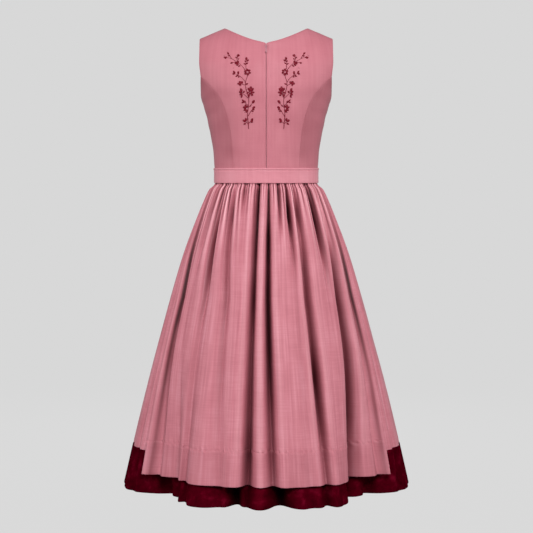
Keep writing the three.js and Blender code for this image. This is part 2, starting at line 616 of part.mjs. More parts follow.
/** A cloth or metal material. */
const finish = (color, roughness, metalness = 0) => new THREE.MeshStandardMaterial({ color, roughness, metalness });
const ROSE = finish("#cf8791", 0.62);
const ROSE_SHEEN = finish("#d8929d", 0.48);
const VELVET_RED = finish("#5c0716", 0.95);
const TAPE = finish("#9c6a72", 0.8);
const METAL = finish("#a58b8e", 0.35, 0.9);

const dirndl = new THREE.Group();

/** Adds one named piece to a group. */
function piece(name, geometry, material, group = dirndl) {
  const mesh = new THREE.Mesh(geometry, material);
  mesh.name = name;
  group.add(mesh);
  return mesh;
}

const halfColumns = [0, 1, 2, 3, 4, 5, 6, 7, 8].map((i) => i / 8);
const frontColumns = [...halfColumns.slice(1).reverse().map((u) => -u), ...halfColumns];
const sideReversed = [...SIDE_COLUMNS].reverse();
for (const mirrored of [false, true]) {
  const hand = mirrored ? "left" : "right";
  const add = (name, surface, columns, rows) =>
    piece(`bodice_${name}_${hand}`, bodicePanel(surface, columns, rows, mirrored), ROSE);
  add("back", (u, v, depth) => centrePanelPoint("back", u, v, depth), halfColumns, CENTRE_ROWS);
  add("side_back", (u, v, depth) => sidePanelPoint("back", u, v, depth), SIDE_COLUMNS, SIDE_ROWS);
  add("side_front", (u, v, depth) => sidePanelPoint("front", u, v, depth), sideReversed, SIDE_ROWS);
}
const frontSurface = (u, v, depth) => centrePanelPoint("front", -u, v, depth);
piece("bodice_front", bodicePanel(frontSurface, frontColumns, CENTRE_ROWS), ROSE);
piece("waistband", bandGeometry(), ROSE_SHEEN);
piece("zip_tape", zipTapeGeometry(), TAPE);

const HALVES = [
  { name: "back", from: -90, to: 90 },
  { name: "front", from: 90, to: 270 },
];
const SKIRT_ROWS = [WAIST_Z - 0.5, BAND_BOTTOM_Z, -402, -432, -480, -560, -660, -780, -900, BORDER_SEAM_Z + 0.2];
const BORDER_ROWS = [BORDER_SEAM_Z - 0.2, -1071, -1106, HEM_Z];
const OVERSKIRT_ROWS = [-396, -414, -440, -480, -535, -610, -700, -800, -900, -1000, OVERSKIRT_HEM_Z];
const FINE_ROWS = 5;
for (const { name, from, to } of HALVES) {
  piece(`skirt_${name}`, gatheredPanel("skirt", from, to, SKIRT_ROWS, 0, SKIRT_CLOTH), ROSE);
  piece(`border_${name}`, gatheredPanel("skirt", from, to, BORDER_ROWS, 0, VELVET), VELVET_RED);
  const middle = (from + to) / 2;
  const reach = OVERSKIRT_EDGE.mid;
  const rows = [BAND_BOTTOM_Z - 0.4, ...OVERSKIRT_ROWS];
  const panel = gatheredPanel("overskirt", middle - reach, middle + reach, rows, FINE_ROWS, OVERSKIRT_CLOTH);
  piece(`overskirt_${name}`, panel, ROSE_SHEEN);
}

// The slider lies on the slit's slope, and the pull tab hangs from its bridge along the cloth
const slope = trunkPoint("back", 0, SLIDER.z - 4).sub(trunkPoint("back", 0, SLIDER.z + 4));
const zip = new THREE.Group();
const up = slope.clone().negate().normalize();
const across = new THREE.Vector3(1, 0, 0);
const out = across.clone().cross(up);
zip.setRotationFromMatrix(new THREE.Matrix4().makeBasis(across, up, out));
zip.position.copy(trunkPoint("back", 0, SLIDER.z)).addScaledVector(out, SLIDER.clear);
dirndl.add(zip);
piece("zip_slider", sliderGeometry(), METAL, zip);
const tab = piece("zip_pull_tab", tabGeometry(), METAL, zip);
tab.position.set(0, 0, SLIDER.thick + BRIDGE.eye / 2);

export default dirndl;
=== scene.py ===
"""Dresses a sleeveless dirndl: bodice, waistband, zip, gathered skirt, velvet border, overskirt, embroidery.

Sizes are in millimetres in the classes and become metres where a mesh is made. The wearer faces +Y, so the
zip at the centre back faces -Y. The forms repeat the solids' outlines and folds with more rows and columns,
and add the gathers, puckers, stitches and embroidery that the solids leave out.
"""

from __future__ import annotations

import json
import logging
import math
from dataclasses import dataclass, field, replace
from enum import Enum
from typing import Any, Mapping, Sequence

import bpy
import numpy as np
from mathutils import Matrix, Vector

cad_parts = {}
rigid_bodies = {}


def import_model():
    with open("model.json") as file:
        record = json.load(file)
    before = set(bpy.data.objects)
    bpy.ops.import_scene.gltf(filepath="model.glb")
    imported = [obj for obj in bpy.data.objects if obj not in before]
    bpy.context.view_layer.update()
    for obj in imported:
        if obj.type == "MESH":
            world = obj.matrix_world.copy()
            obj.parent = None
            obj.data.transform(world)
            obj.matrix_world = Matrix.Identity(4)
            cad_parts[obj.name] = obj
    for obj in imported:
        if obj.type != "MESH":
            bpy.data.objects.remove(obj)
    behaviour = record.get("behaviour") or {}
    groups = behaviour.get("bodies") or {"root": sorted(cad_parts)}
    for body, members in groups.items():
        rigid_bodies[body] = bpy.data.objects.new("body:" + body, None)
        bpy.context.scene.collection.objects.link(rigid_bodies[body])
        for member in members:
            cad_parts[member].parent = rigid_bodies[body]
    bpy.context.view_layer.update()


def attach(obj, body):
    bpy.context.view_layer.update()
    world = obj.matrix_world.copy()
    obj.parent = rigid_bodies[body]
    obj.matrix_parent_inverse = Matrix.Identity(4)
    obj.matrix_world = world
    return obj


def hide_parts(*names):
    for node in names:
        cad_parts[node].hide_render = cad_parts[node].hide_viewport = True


LOG = logging.getLogger("dirndl")
MILLIMETRE = 0.001
GARMENT = "garment"


class Side(Enum):
    """The garment's two sides; the value is the sign of Y that the side faces."""

    BACK = -1
    FRONT = 1


class Layer(Enum):
    """The two layers below the waistband."""

    SKIRT = "skirt"
    OVERSKIRT = "overskirt"


# Numbers, curves and meshes


def ease(value: np.ndarray | float, low: float, high: float) -> np.ndarray | float:
    """Eases from 0 at low to 1 at high."""
    share = np.clip((np.asarray(value, dtype=float) - low) / (high - low), 0.0, 1.0)
    return share * share * (3.0 - 2.0 * share)


def wrapped(angle: np.ndarray | float) -> np.ndarray | float:
    """Brings angles in degrees between -180 and 180."""
    return (angle + 180) % 360 - 180


def bump_at(value: np.ndarray, centre: float, width: float) -> np.ndarray:
    """A smooth bump of height 1 at a centre."""
    return np.exp(-(((value - centre) / width) ** 2))


def smooth_noise(x: np.ndarray, y: np.ndarray, seed: int, waves: int = 9) -> np.ndarray:
    """A smooth, seeded, wandering pattern of about -1 to 1 whose features are about one unit across.

    Args:
        x: First coordinate of each point.
        y: Second coordinate of each point.
        seed: The pattern's fixed seed.
        waves: How many plane waves it is made of.

    Returns:
        The pattern's value at each point.
    """
    random = np.random.default_rng(seed)
    total = np.zeros(np.broadcast(x, y).shape)
    for _ in range(waves):
        turn, phase = random.uniform(0, 2 * math.pi), random.uniform(0, 2 * math.pi)
        pace = random.uniform(0.6, 1.6)
        total += np.sin(pace * math.pi * (math.cos(turn) * x + math.sin(turn) * y) + phase)
    return total / math.sqrt(waves)


class Curve:
    """A smooth curve through rows of numbers that never overshoots them."""

    def __init__(self, rows: Sequence[tuple[float, float]]) -> None:
        """Takes the rows as pairs, in any order.

        Args:
            rows: A place and its height in each row.
        """
        table = np.array(sorted(rows), dtype=float)
        self.x, self.y = table[:, 0], table[:, 1]
        slopes = np.diff(self.y) / np.diff(self.x)
        before, after = np.r_[slopes[0], slopes], np.r_[slopes, slopes[-1]]
        total = np.where(before * after > 0, before + after, 1.0)
        self.tangent = np.where(before * after > 0, 2 * before * after / total, 0.0)

    def __call__(self, value: np.ndarray | float) -> np.ndarray:
        """The curve's height at a value or at each of many.

        Args:
            value: One place, or an array of them.

        Returns:
            The height at each.
        """
        value = np.asarray(value, dtype=float)
        i = np.clip(np.searchsorted(self.x, value, side="right") - 1, 0, len(self.x) - 2)
        span = self.x[i + 1] - self.x[i]
        s = np.clip((value - self.x[i]) / span, 0.0, 1.0)
        return (
            self.y[i] * (1 + 2 * s) * (1 - s) ** 2
            + self.tangent[i] * span * s * (1 - s) ** 2
            + self.y[i + 1] * s * s * (3 - 2 * s)
            - self.tangent[i + 1] * span * s * s * (1 - s)
        )


def grid_normals(points: np.ndarray, ring: bool = False) -> np.ndarray:
    """The outward normals of a net of points whose columns run anticlockwise and whose rows run downwards.

    Args:
        points: The net, as rows by columns by three.
        ring: Whether the last column is the first one again.

    Returns:
        One unit vector for each point.
    """
    across = np.gradient(points, axis=1)
    if ring:
        seam = (points[:, 1] - points[:, -2]) / 2
        across[:, 0], across[:, -1] = seam, seam
    down = np.gradient(points, axis=0)
    normal = np.cross(down, across)
    return normal / np.maximum(np.linalg.norm(normal, axis=2, keepdims=True), 1e-9)


@dataclass
class ClothNet:
    """A piece of cloth as a net of points in millimetres, with its place on the flat cloth."""

    points: np.ndarray
    flat: np.ndarray
    ring: bool = False
    # Painted shade for each point, up to 1, and painted highlight below 0
    slit: np.ndarray | None = None

    def moved_out(self, distance: np.ndarray | float) -> "ClothNet":
        """The same net moved along its normals by a distance, the same everywhere or one a point.

        Args:
            distance: How far, in millimetres.

        Returns:
            The moved net.
        """
        lift = np.broadcast_to(np.asarray(distance, dtype=float), self.points.shape[:2])[..., None]
        points = self.points + grid_normals(self.points, self.ring) * lift
        return ClothNet(points, self.flat, self.ring, self.slit)

    def mirrored(self) -> "ClothNet":
        """The net on the other side of the garment's middle.

        Returns:
            The mirrored net.
        """
        points = self.points[:, ::-1] * np.array([-1.0, 1.0, 1.0])
        flat = self.flat[:, ::-1] * np.array([-1.0, 1.0])
        return ClothNet(points, flat, self.ring, None if self.slit is None else self.slit[:, ::-1])

    def area(self) -> float:
        """The cloth's area in square metres.

        Returns:
            The sum of the areas of its triangles.
        """
        p = self.points * MILLIMETRE
        a = np.cross(p[1:, :-1] - p[:-1, :-1], p[:-1, 1:] - p[:-1, :-1])
        b = np.cross(p[:-1, 1:] - p[1:, 1:], p[1:, :-1] - p[1:, 1:])
        return float(np.linalg.norm(a, axis=2).sum() + np.linalg.norm(b, axis=2).sum()) / 2

    def wall(self, name: str, thick: float, material: bpy.types.Material) -> bpy.types.Object:
        """Makes the cloth a closed wall with its outer face on the net.

        Args:
            name: The piece's name.
            thick: The cloth's thickness in millimetres.
            material: The cloth's finish.

        Returns:
            The new mesh object.
        """
        outer = self.points
        inner = outer - grid_normals(outer, self.ring) * thick
        rows, columns = outer.shape[:2]
        used = columns - 1 if self.ring else columns
        verts = np.concatenate([outer[:, :used].reshape(-1, 3), inner[:, :used].reshape(-1, 3)])
        back = rows * used

        def spot(row: np.ndarray, column: np.ndarray) -> np.ndarray:
            """The numbers of the outer points at rows and columns."""
            return row * used + column % used

        r, c = np.meshgrid(np.arange(rows - 1), np.arange(columns - 1), indexing="ij")
        r, c = r.ravel(), c.ravel()
        ring_of_four = [(r, c), (r + 1, c), (r + 1, c + 1), (r, c + 1)]
        out_faces = np.stack([spot(*corner) for corner in ring_of_four], axis=1)
        out_flat = np.stack([self.flat[corner] for corner in ring_of_four], axis=1)
        faces, uvs = [out_faces, out_faces[:, ::-1] + back], [out_flat, out_flat[:, ::-1]]
        k, m = np.arange(columns - 1), np.arange(rows - 1)
        top, low = np.zeros_like(k), np.full_like(k, rows - 1)
        rims = [((top, k), (top, k + 1)), ((low, k + 1), (low, k))]
        if not self.ring:
            left, right = np.zeros_like(m), np.full_like(m, columns - 1)
            rims += [((m + 1, left), (m, left)), ((m, right), (m + 1, right))]
        for start, end in rims:
            a, b = spot(*start), spot(*end)
            faces.append(np.stack([a, b, b + back, a + back], axis=1))
            uvs.append(np.stack([self.flat[start], self.flat[end], self.flat[end], self.flat[start]], axis=1))
        cloth = mesh_object(name, verts * MILLIMETRE, np.concatenate(faces), material, np.concatenate(uvs))
        # The painted shade and painted highlight go on every point for the material to read
        if self.slit is not None:
            depth = np.tile(self.slit[:, :used].ravel(), 2)
            cloth.data.attributes.new("fold_slit", "FLOAT", "POINT").data.foreach_set("value", depth)
        return cloth


def mesh_object(
    name: str,
    verts: np.ndarray,
    faces: np.ndarray,
    material: bpy.types.Material,
    uvs: np.ndarray | None = None,
    sharp_degrees: float = 50.0,
) -> bpy.types.Object:
    """Makes a smooth-shaded mesh object at the origin.

    Args:
        name: The object's name.
        verts: Points in metres.
        faces: Point numbers, one row a face.
        material: Its material.
        uvs: Place on the flat cloth in millimetres for each corner of each face.
        sharp_degrees: Edges sharper than this stay sharp.

    Returns:
        The new object, linked to the scene.
    """
    mesh = bpy.data.meshes.new(name)
    mesh.from_pydata(verts.tolist(), [], faces.tolist())
    mesh.polygons.foreach_set("use_smooth", np.ones(len(mesh.polygons), dtype=bool))
    if uvs is not None:
        layer = mesh.uv_layers.new(name="flat_cloth")
        layer.data.foreach_set("uv", (uvs.reshape(-1, 2) * MILLIMETRE).astype(np.float32).ravel())
    mesh.materials.append(material)
    mesh.set_sharp_from_angle(angle=math.radians(sharp_degrees))
    mesh.validate()
    obj = bpy.data.objects.new(name, mesh)
    bpy.context.scene.collection.objects.link(obj)
    return obj


# Nodes and finishes


def linear(colour: str) -> tuple[float, float, float, float]:
    """An sRGB hex colour as linear red, green, blue and alpha.

    Args:
        colour: The colour, as # and six hex digits.

    Returns:
        Red, green, blue and alpha from 0 to 1.
    """
    parts = [int(colour.lstrip("#")[i : i + 2], 16) / 255 for i in (0, 2, 4)]
    r, g, b = (p / 12.92 if p <= 0.04045 else ((p + 0.055) / 1.055) ** 2.4 for p in parts)
    return (r, g, b, 1.0)


def add_node(
    tree: bpy.types.NodeTree,
    kind: str,
    inputs: Mapping[str | int, Any] | None = None,
    **settings: Any,
) -> bpy.types.Node:
    """Adds one node with its settings, values and links.

    Args:
        tree: The tree that it goes in.
        kind: The node's type name.
        inputs: A value, or an output socket to link, for each input by name or number.
        **settings: The node's own properties.

    Returns:
        The new node.
    """
    node = tree.nodes.new(kind)
    for key, value in settings.items():
        setattr(node, key, value)
    for key, value in (inputs or {}).items():
        socket = node.inputs[key]
        if isinstance(value, bpy.types.NodeSocket):
            tree.links.new(value, socket)
        else:
            socket.default_value = value
    return node


def mixed_colour(tree: bpy.types.NodeTree, factor: Any, first: Any, second: Any) -> bpy.types.NodeSocket:
    """The first colour where the factor is 0, and the second where it is 1.

    Args:
        tree: The material's nodes.
        factor: A number or socket from 0 to 1.
        first: The first colour or its socket.
        second: The second colour or its socket.

    Returns:
        The mix's socket.
    """
    mix = add_node(tree, "ShaderNodeMix", {"Factor": factor, 6: first, 7: second}, data_type="RGBA")
    return mix.outputs[2]


def math_node(
    tree: bpy.types.NodeTree, operation: str, *values: Any, clamp: bool = False
) -> bpy.types.NodeSocket:
    """The result of one sum on numbers or sockets.

    Args:
        tree: The material's nodes.
        operation: The sum's type name.
        *values: Its numbers or sockets.
        clamp: Whether the result is kept between 0 and 1.

    Returns:
        The result's socket.
    """
    node = add_node(tree, "ShaderNodeMath", dict(enumerate(values)), operation=operation, use_clamp=clamp)
    return node.outputs[0]


def relief_from(
    tree: bpy.types.NodeTree, height: Any, strength: float, metres: float
) -> bpy.types.NodeSocket:
    """The normal of a surface whose fine relief follows a height from 0 to 1.

    Args:
        tree: The material's nodes.
        height: The height's socket.
        strength: How strongly it shows.
        metres: The relief's depth.

    Returns:
        The normal's socket.
    """
    bump = add_node(tree, "ShaderNodeBump", {"Height": height, "Strength": strength, "Distance": metres})
    return bump.outputs[0]


def dress_surface(tree: bpy.types.NodeTree, inputs: Mapping[str | int, Any]) -> None:
    """Ends a material's tree in a principled shader with these inputs.

    Args:
        tree: The material's nodes.
        inputs: A value, or an output socket to link, for each input.
    """
    shader = add_node(tree, "ShaderNodeBsdfPrincipled", inputs)
    add_node(tree, "ShaderNodeOutputMaterial", {"Surface": shader.outputs[0]})


def new_material(name: str) -> tuple[bpy.types.Material, bpy.types.NodeTree]:
    """An empty node material and its tree.

    Args:
        name: Its name.

    Returns:
        The material and its nodes.
    """
    material = bpy.data.materials.new(name)
    material.use_nodes = True
    material.node_tree.nodes.clear()
    return material, material.node_tree


def ramp(tree: bpy.types.NodeTree, factor: bpy.types.NodeSocket, stops: Sequence[tuple[float, str]]) -> Any:
    """A colour ramp through hex colours at places from 0 to 1.

    Args:
        tree: The material's nodes.
        factor: What picks the place.
        stops: The places and their colours.

    Returns:
        The colour's socket.
    """
    node = add_node(tree, "ShaderNodeValToRGB", {"Fac": factor})
    points = node.color_ramp.elements
    while len(points) < len(stops):
        points.new(0.5)
    for element, (place, colour) in zip(points, stops):
        element.position, element.color = place, linear(colour)
    return node.outputs["Color"]


def paint_fold_shade_and_highlight(
    tree: bpy.types.NodeTree, colour: bpy.types.NodeSocket, slit_shade: str, crest_shade: str
) -> bpy.types.NodeSocket:
    """Paints shade into a cloth's colour in the slits of its folds, and paints a highlight on the crests.

    Args:
        tree: The material's nodes.
        colour: The cloth's colour in the open.
        slit_shade: The colour of the painted shade, where hardly any light comes in.
        crest_shade: The colour of the painted highlight on a crest.

    Returns:
        The socket of the mixed colour.
    """
    slit = add_node(tree, "ShaderNodeAttribute", attribute_name="fold_slit").outputs["Fac"]
    # Painted highlight where the value is below 0, on the crests
    crest = math_node(tree, "MULTIPLY", slit, -1.0, clamp=True)
    with_painted_highlight = mixed_colour(tree, crest, colour, linear(crest_shade))
    with_painted_shade = mixed_colour(tree, slit, with_painted_highlight, linear(slit_shade))
    # Painted shade: the very bottom of a slit, which gets no light at all, is painted near black
    bottom = math_node(tree, "POWER", slit, 3.0, clamp=True)
    return mixed_colour(tree, bottom, with_painted_shade, linear("#120103"))


@dataclass(frozen=True)
class WovenSatinFinish:
    """Satin-faced cotton, woven with slightly uneven yarn: soft streaks along the warp and a low, broad
    shine."""

    name: str
    shade: str
    light: str
    dark: str
    roughness: float = 0.5
    sheen: float = 0.01
    streak: float = 1.0
    # The colours of the painted shade in the slits of folds and of the painted highlight on crests
    slit_shade: str = "#5a0a18"
    crest_shade: str = "#dda4ac"

    def build(self) -> bpy.types.Material:
        """Builds the material; its patterns follow the flat cloth, in metres.

        Returns:
            The new material.
        """
        material, tree = new_material(self.name)
        uv = add_node(tree, "ShaderNodeUVMap", uv_map="flat_cloth").outputs["UV"]
        # Warp streaks are 3 to 9 mm across and run for a hand's length; weft slubs are 1 to 2 mm thick
        yarns = []
        for scale, detail, rough in (((150.0, 5.0, 1.0), 3.0, 0.6), ((16.0, 420.0, 1.0), 2.0, 0.5)):
            place = add_node(tree, "ShaderNodeMapping", {"Vector": uv, "Scale": scale}).outputs[0]
            settings = {"Vector": place, "Scale": 1.0, "Detail": detail, "Roughness": rough}
            yarns.append(add_node(tree, "ShaderNodeTexNoise", settings).outputs["Fac"])
        warp, weft = yarns
        cloud = add_node(tree, "ShaderNodeTexNoise", {"Vector": uv, "Scale": 14.0, "Detail": 2.0})
        blend = math_node(tree, "MULTIPLY_ADD", warp, 0.55 * self.streak, 0.0)
        blend = math_node(tree, "MULTIPLY_ADD", weft, 0.22 * self.streak, blend)
        blend = math_node(tree, "MULTIPLY_ADD", cloud.outputs["Fac"], 0.3, blend)
        middle = 0.5 * (0.77 * self.streak + 0.3)
        low, high = max(0.0, middle - 0.22), min(1.0, middle + 0.22)
        colour = ramp(tree, blend, [(low, self.dark), (middle, self.shade), (high, self.light)])
        # Painted shade in the slits of folds and painted highlight on their crests
        colour = paint_fold_shade_and_highlight(tree, colour, self.slit_shade, self.crest_shade)
        # Yarns lie about 0.35 mm apart, too fine to show here, so they are drawn at 0.8 mm
        weave_map = add_node(tree, "ShaderNodeMapping", {"Vector": uv, "Scale": (1250.0, 1250.0, 1.0)})
        weave = add_node(
            tree,
            "ShaderNodeTexVoronoi",
            {"Vector": weave_map.outputs[0], "Scale": 1.0, "Randomness": 0.35},
            distance="CHEBYCHEV",
        )
        relief = math_node(tree, "MULTIPLY_ADD", weave.outputs["Distance"], 0.35, blend)
        dress_surface(
            tree,
            {
                "Base Color": colour,
                "Roughness": self.roughness,
                "Specular IOR Level": 0.14,
                "Sheen Weight": self.sheen,
                "Sheen Roughness": 0.45,
                "Sheen Tint": linear("#ffd9dd"),
                "Normal": relief_from(tree, relief, 0.22, 0.0006),
            },
        )
        return material


@dataclass(frozen=True)
class VelvetFinish:
    """Cotton velvet: a short upright pile that is nearly black face on and glows red where it turns away."""

    name: str = "burgundy_cotton_velvet"

    def build(self) -> bpy.types.Material:
        """Builds the material.

        Returns:
            The new material.
        """
        material, tree = new_material(self.name)
        uv = add_node(tree, "ShaderNodeUVMap", uv_map="flat_cloth").outputs["UV"]
        # The pile is brushed in patches about 30 mm across, and its tufts, 0.5 mm apart, are drawn at 1 mm
        patches = {"Vector": uv, "Scale": 34.0, "Detail": 3.0, "Roughness": 0.6}
        brushed = add_node(tree, "ShaderNodeTexNoise", patches)
        tufts = add_node(tree, "ShaderNodeTexNoise", {"Vector": uv, "Scale": 1000.0, "Detail": 1.0})
        colour = ramp(tree, brushed.outputs["Fac"], [(0.3, "#2e0007"), (0.55, "#42000d"), (0.75, "#60081d")])
        # Painted shade, near black, in the border's folds and hollows, and a painted highlight on crests
        colour = paint_fold_shade_and_highlight(tree, colour, "#120001", "#6a0c1c")
        dress_surface(
            tree,
            {
                "Base Color": colour,
                "Roughness": 0.9,
                "Specular IOR Level": 0.0,
                "Sheen Weight": 0.08,
                "Sheen Roughness": 0.3,
                "Sheen Tint": linear("#a0102c"),
                "Normal": relief_from(tree, tufts.outputs["Fac"], 0.35, 0.0008),
            },
        )
        return material


@dataclass(frozen=True)
class ThreadFinish:
    """Rayon thread laid side by side in satin stitch: fine ribs with a soft gloss."""

    name: str
    shade: str
    light: str
    ribs_mm: float = 0.5
    roughness: float = 0.42

    def build(self) -> bpy.types.Material:
        """Builds the material; threads lie 0.2 mm apart, drawn coarser so that they show close up.

        Returns:
            The new material.
        """
        material, tree = new_material(self.name)
        coordinates = add_node(tree, "ShaderNodeTexCoord").outputs["Object"]
        scale = 0.314 / (self.ribs_mm * MILLIMETRE)
        ribs = add_node(
            tree,
            "ShaderNodeTexWave",
            {"Vector": coordinates, "Scale": scale, "Distortion": 1.5, "Detail": 1.0},
            bands_direction="DIAGONAL",
        )
        dress_surface(
            tree,
            {
                "Base Color": ramp(tree, ribs.outputs["Fac"], [(0.0, self.shade), (1.0, self.light)]),
                "Roughness": self.roughness,
                "Specular IOR Level": 0.15,
                "Normal": relief_from(tree, ribs.outputs["Fac"], 0.4, 0.0003),
            },
        )
        return material


@dataclass(frozen=True)
class LacqueredZincFinish:
    """Die-cast zinc under a thin rose lacquer: smooth, with faint wear where fingers touch it."""

    name: str = "rose_lacquered_zinc"

    def build(self) -> bpy.types.Material:
        """Builds the material.

        Returns:
            The new material.
        """
        material, tree = new_material(self.name)
        coordinates = add_node(tree, "ShaderNodeTexCoord").outputs["Object"]
        wear = add_node(tree, "ShaderNodeTexNoise", {"Vector": coordinates, "Scale": 600.0, "Detail": 3.0})
        colour = ramp(tree, wear.outputs["Fac"], [(0.35, "#8f5f69"), (0.7, "#a8757f")])
        worn = {"Value": wear.outputs["Fac"], "To Min": 0.28, "To Max": 0.42}
        rough = add_node(tree, "ShaderNodeMapRange", worn).outputs[0]
        dress_surface(tree, {"Base Color": colour, "Metallic": 0.6, "Roughness": rough, "Coat Weight": 0.3})
        return material


@dataclass(frozen=True)
class StudioSweepFinish:
    """Matt pale studio paper, evenly lit, so that the floor runs into the background."""

    name: str = "matt_studio_paper"
    shade: str = "#d9d9d9"

    def build(self) -> bpy.types.Material:
        """Builds the material; most of its light is its own, which keeps it even.

        Returns:
            The new material.
        """
        material, tree = new_material(self.name)
        glow = add_node(tree, "ShaderNodeEmission", {"Color": linear(self.shade), "Strength": 1.0})
        paper = add_node(tree, "ShaderNodeBsdfDiffuse", {"Color": linear(self.shade)})
        mixed = add_node(tree, "ShaderNodeMixShader", {0: 0.985, 1: paper.outputs[0], 2: glow.outputs[0]})
        add_node(tree, "ShaderNodeOutputMaterial", {"Surface": mixed.outputs[0]})
        return material


# The bodice's form


@dataclass(frozen=True)
class TrunkRow:
    """The bodice's outline at one height."""

    z: float
    half: float
    back: float
    front: float


@dataclass
class Trunk:
    """The form under the bodice, as the solids have it, and the soft relief of the cloth on it."""

    waist_z: float = -366.0
    armhole_seam_z: float = -122.0
    underarm_z: float = -181.0
    neck_point_x: float = 103.0
    shoulder_tip_x: float = 166.0
    shoulder_tip_z: float = -26.0
    neck_z: dict[Side, float] = field(default_factory=lambda: {Side.BACK: -42.0, Side.FRONT: -135.0})
    upper_trunk_z: float = -150.0
    shoulder_round: float = 1.7
    seam_gap: float = 0.4
    slit: float = 1.6
    neck_share: float = 0.625
    rows: tuple[TrunkRow, ...] = (
        TrunkRow(0, 194, 96, 88),
        TrunkRow(-50, 192, 98, 91),
        TrunkRow(-100, 186, 100, 97),
        TrunkRow(-150, 170, 100, 103),
        TrunkRow(-181, 159.5, 98, 105),
        TrunkRow(-218, 150, 94, 104),
        TrunkRow(-258, 140, 90, 99),
        TrunkRow(-298, 133.5, 86.5, 94),
        TrunkRow(-335, 129.2, 84, 92),
        TrunkRow(-366, 127.5, 83, 91.5),
    )

    def __post_init__(self) -> None:
        """Makes the curves from the tables."""
        self.half = Curve([(r.z, r.half) for r in self.rows])
        self.depth = {
            Side.BACK: Curve([(r.z, r.back) for r in self.rows]),
            Side.FRONT: Curve([(r.z, r.front) for r in self.rows]),
        }
        back = [(-366, 80), (-300, 83), (-258, 88), (-220, 95.5), (-186, 108), (-158, 127), (-134, 150)]
        front = [(-366, 70), (-300, 73), (-240, 80), (-198, 90), (-165, 112), (-138, 142)]
        top = [(-122, 163.5)]
        self.princess = {Side.BACK: Curve(back + top), Side.FRONT: Curve(front + top)}
        self.armhole = Curve([(-122, 163.5), (-85, 166), (-26, 166)])
        self.back_neckline = Curve([(0, -42), (12, -38.2), (25, -35), (44, -28.6), (76, -14.4), (103, 0)])

    def relief(self, side: Side, x: np.ndarray, z: np.ndarray) -> np.ndarray:
        """How far the cloth's own soft waves stand out: drag lines, and the stiff ridge beside the zip.

        Args:
            side: The back or the front.
            x: Widths in millimetres.
            z: Heights in millimetres.

        Returns:
            Heights above the plain form, in millimetres.
        """
        across = np.abs(x)
        waves = 0.5 * smooth_noise(x / 60, z / 34, 11) + 0.25 * smooth_noise(x / 22, z / 70, 12)
        pinch = bump_at(z, -352, 26) * np.cos(x / 6.4 + 1.3 * np.sin(z / 17)) * 0.5
        pull = bump_at(z, -190, 60) * bump_at(across, 150, 34) * np.cos((z + 0.55 * across) / 6.5) * 0.5
        relief = waves + pinch + pull
        if side is Side.BACK:
            relief = relief + 0.35 * bump_at(across, 6.0, 2.6) - 0.2 * bump_at(across, 11.0, 2.2)
        return relief * ease(-z, 12, 40)

    def stand(self, side: Side, x: np.ndarray, z: np.ndarray) -> np.ndarray:
        """How far the surface stands from the middle at widths and heights.

        Args:
            side: The back or the front.
            x: Widths in millimetres.
            z: Heights in millimetres.

        Returns:
            Distances in millimetres.
        """
        round_off = np.sqrt(np.maximum(0.0, 1 - (x / self.half(z)) ** 2))
        slope = self.shoulder_tip_z / (self.shoulder_tip_x - self.neck_point_x)
        top = slope * (np.abs(x) - self.neck_point_x)
        climb = np.clip((z - self.upper_trunk_z) / (top - self.upper_trunk_z), 0.0, 1.0)
        fullness = (1 - climb**self.shoulder_round) ** (1 / self.shoulder_round)
        full = self.depth[side](z)
        if side is Side.FRONT:
            tall = np.where(z > -198, 62.0, 46.0)
            mounds = [np.exp(-(((x - c) / 44) ** 2 + ((z + 198) / tall) ** 2)) for c in (-80, 80)]
            full = full + 25 * (mounds[0] + mounds[1])
        return self.seam_gap / 2 + full * round_off * fullness

    def point(self, side: Side, x: np.ndarray, z: np.ndarray, lift: np.ndarray | float = 0.0) -> np.ndarray:
        """Points on the cloth's outer face, or a distance above it.

        Args:
            side: The back or the front.
            x: Widths in millimetres.
            z: Heights in millimetres.
            lift: How far above the face each point lies.

        Returns:
            The points, with x, y and z last.
        """
        x, z = np.broadcast_arrays(np.asarray(x, dtype=float), np.asarray(z, dtype=float))
        normal = self.normal(side, x, z)
        base = np.stack([x, side.value * self.stand(side, x, z), z], axis=-1)
        point = base + normal * (np.asarray(lift) + self.relief(side, x, z))[..., None]
        floor = self.seam_gap / 2
        point[..., 1] = side.value * np.maximum(floor, side.value * point[..., 1])
        return point

    def normal(self, side: Side, x: np.ndarray, z: np.ndarray) -> np.ndarray:
        """Unit vectors that point out of the surface at widths and heights.

        Args:
            side: The back or the front.
            x: Widths in millimetres.
            z: Heights in millimetres.

        Returns:
            The vectors, with x, y and z last.
        """
        step = 0.2
        slope = self.shoulder_tip_z / (self.shoulder_tip_x - self.neck_point_x)
        near_x = np.sign(x) * np.minimum(np.abs(x), self.half(z) - 2 * step)
        near_z = np.minimum(z, slope * (np.abs(x) - self.neck_point_x) - 2 * step)
        along_x = self.stand(side, near_x + step, near_z) - self.stand(side, near_x - step, near_z)
        along_z = self.stand(side, near_x, near_z + step) - self.stand(side, near_x, near_z - step)
        outward = np.full_like(along_x, side.value)
        normal = np.stack([-along_x / (2 * step), outward, -along_z / (2 * step)], axis=-1)
        return normal / np.linalg.norm(normal, axis=-1, keepdims=True)


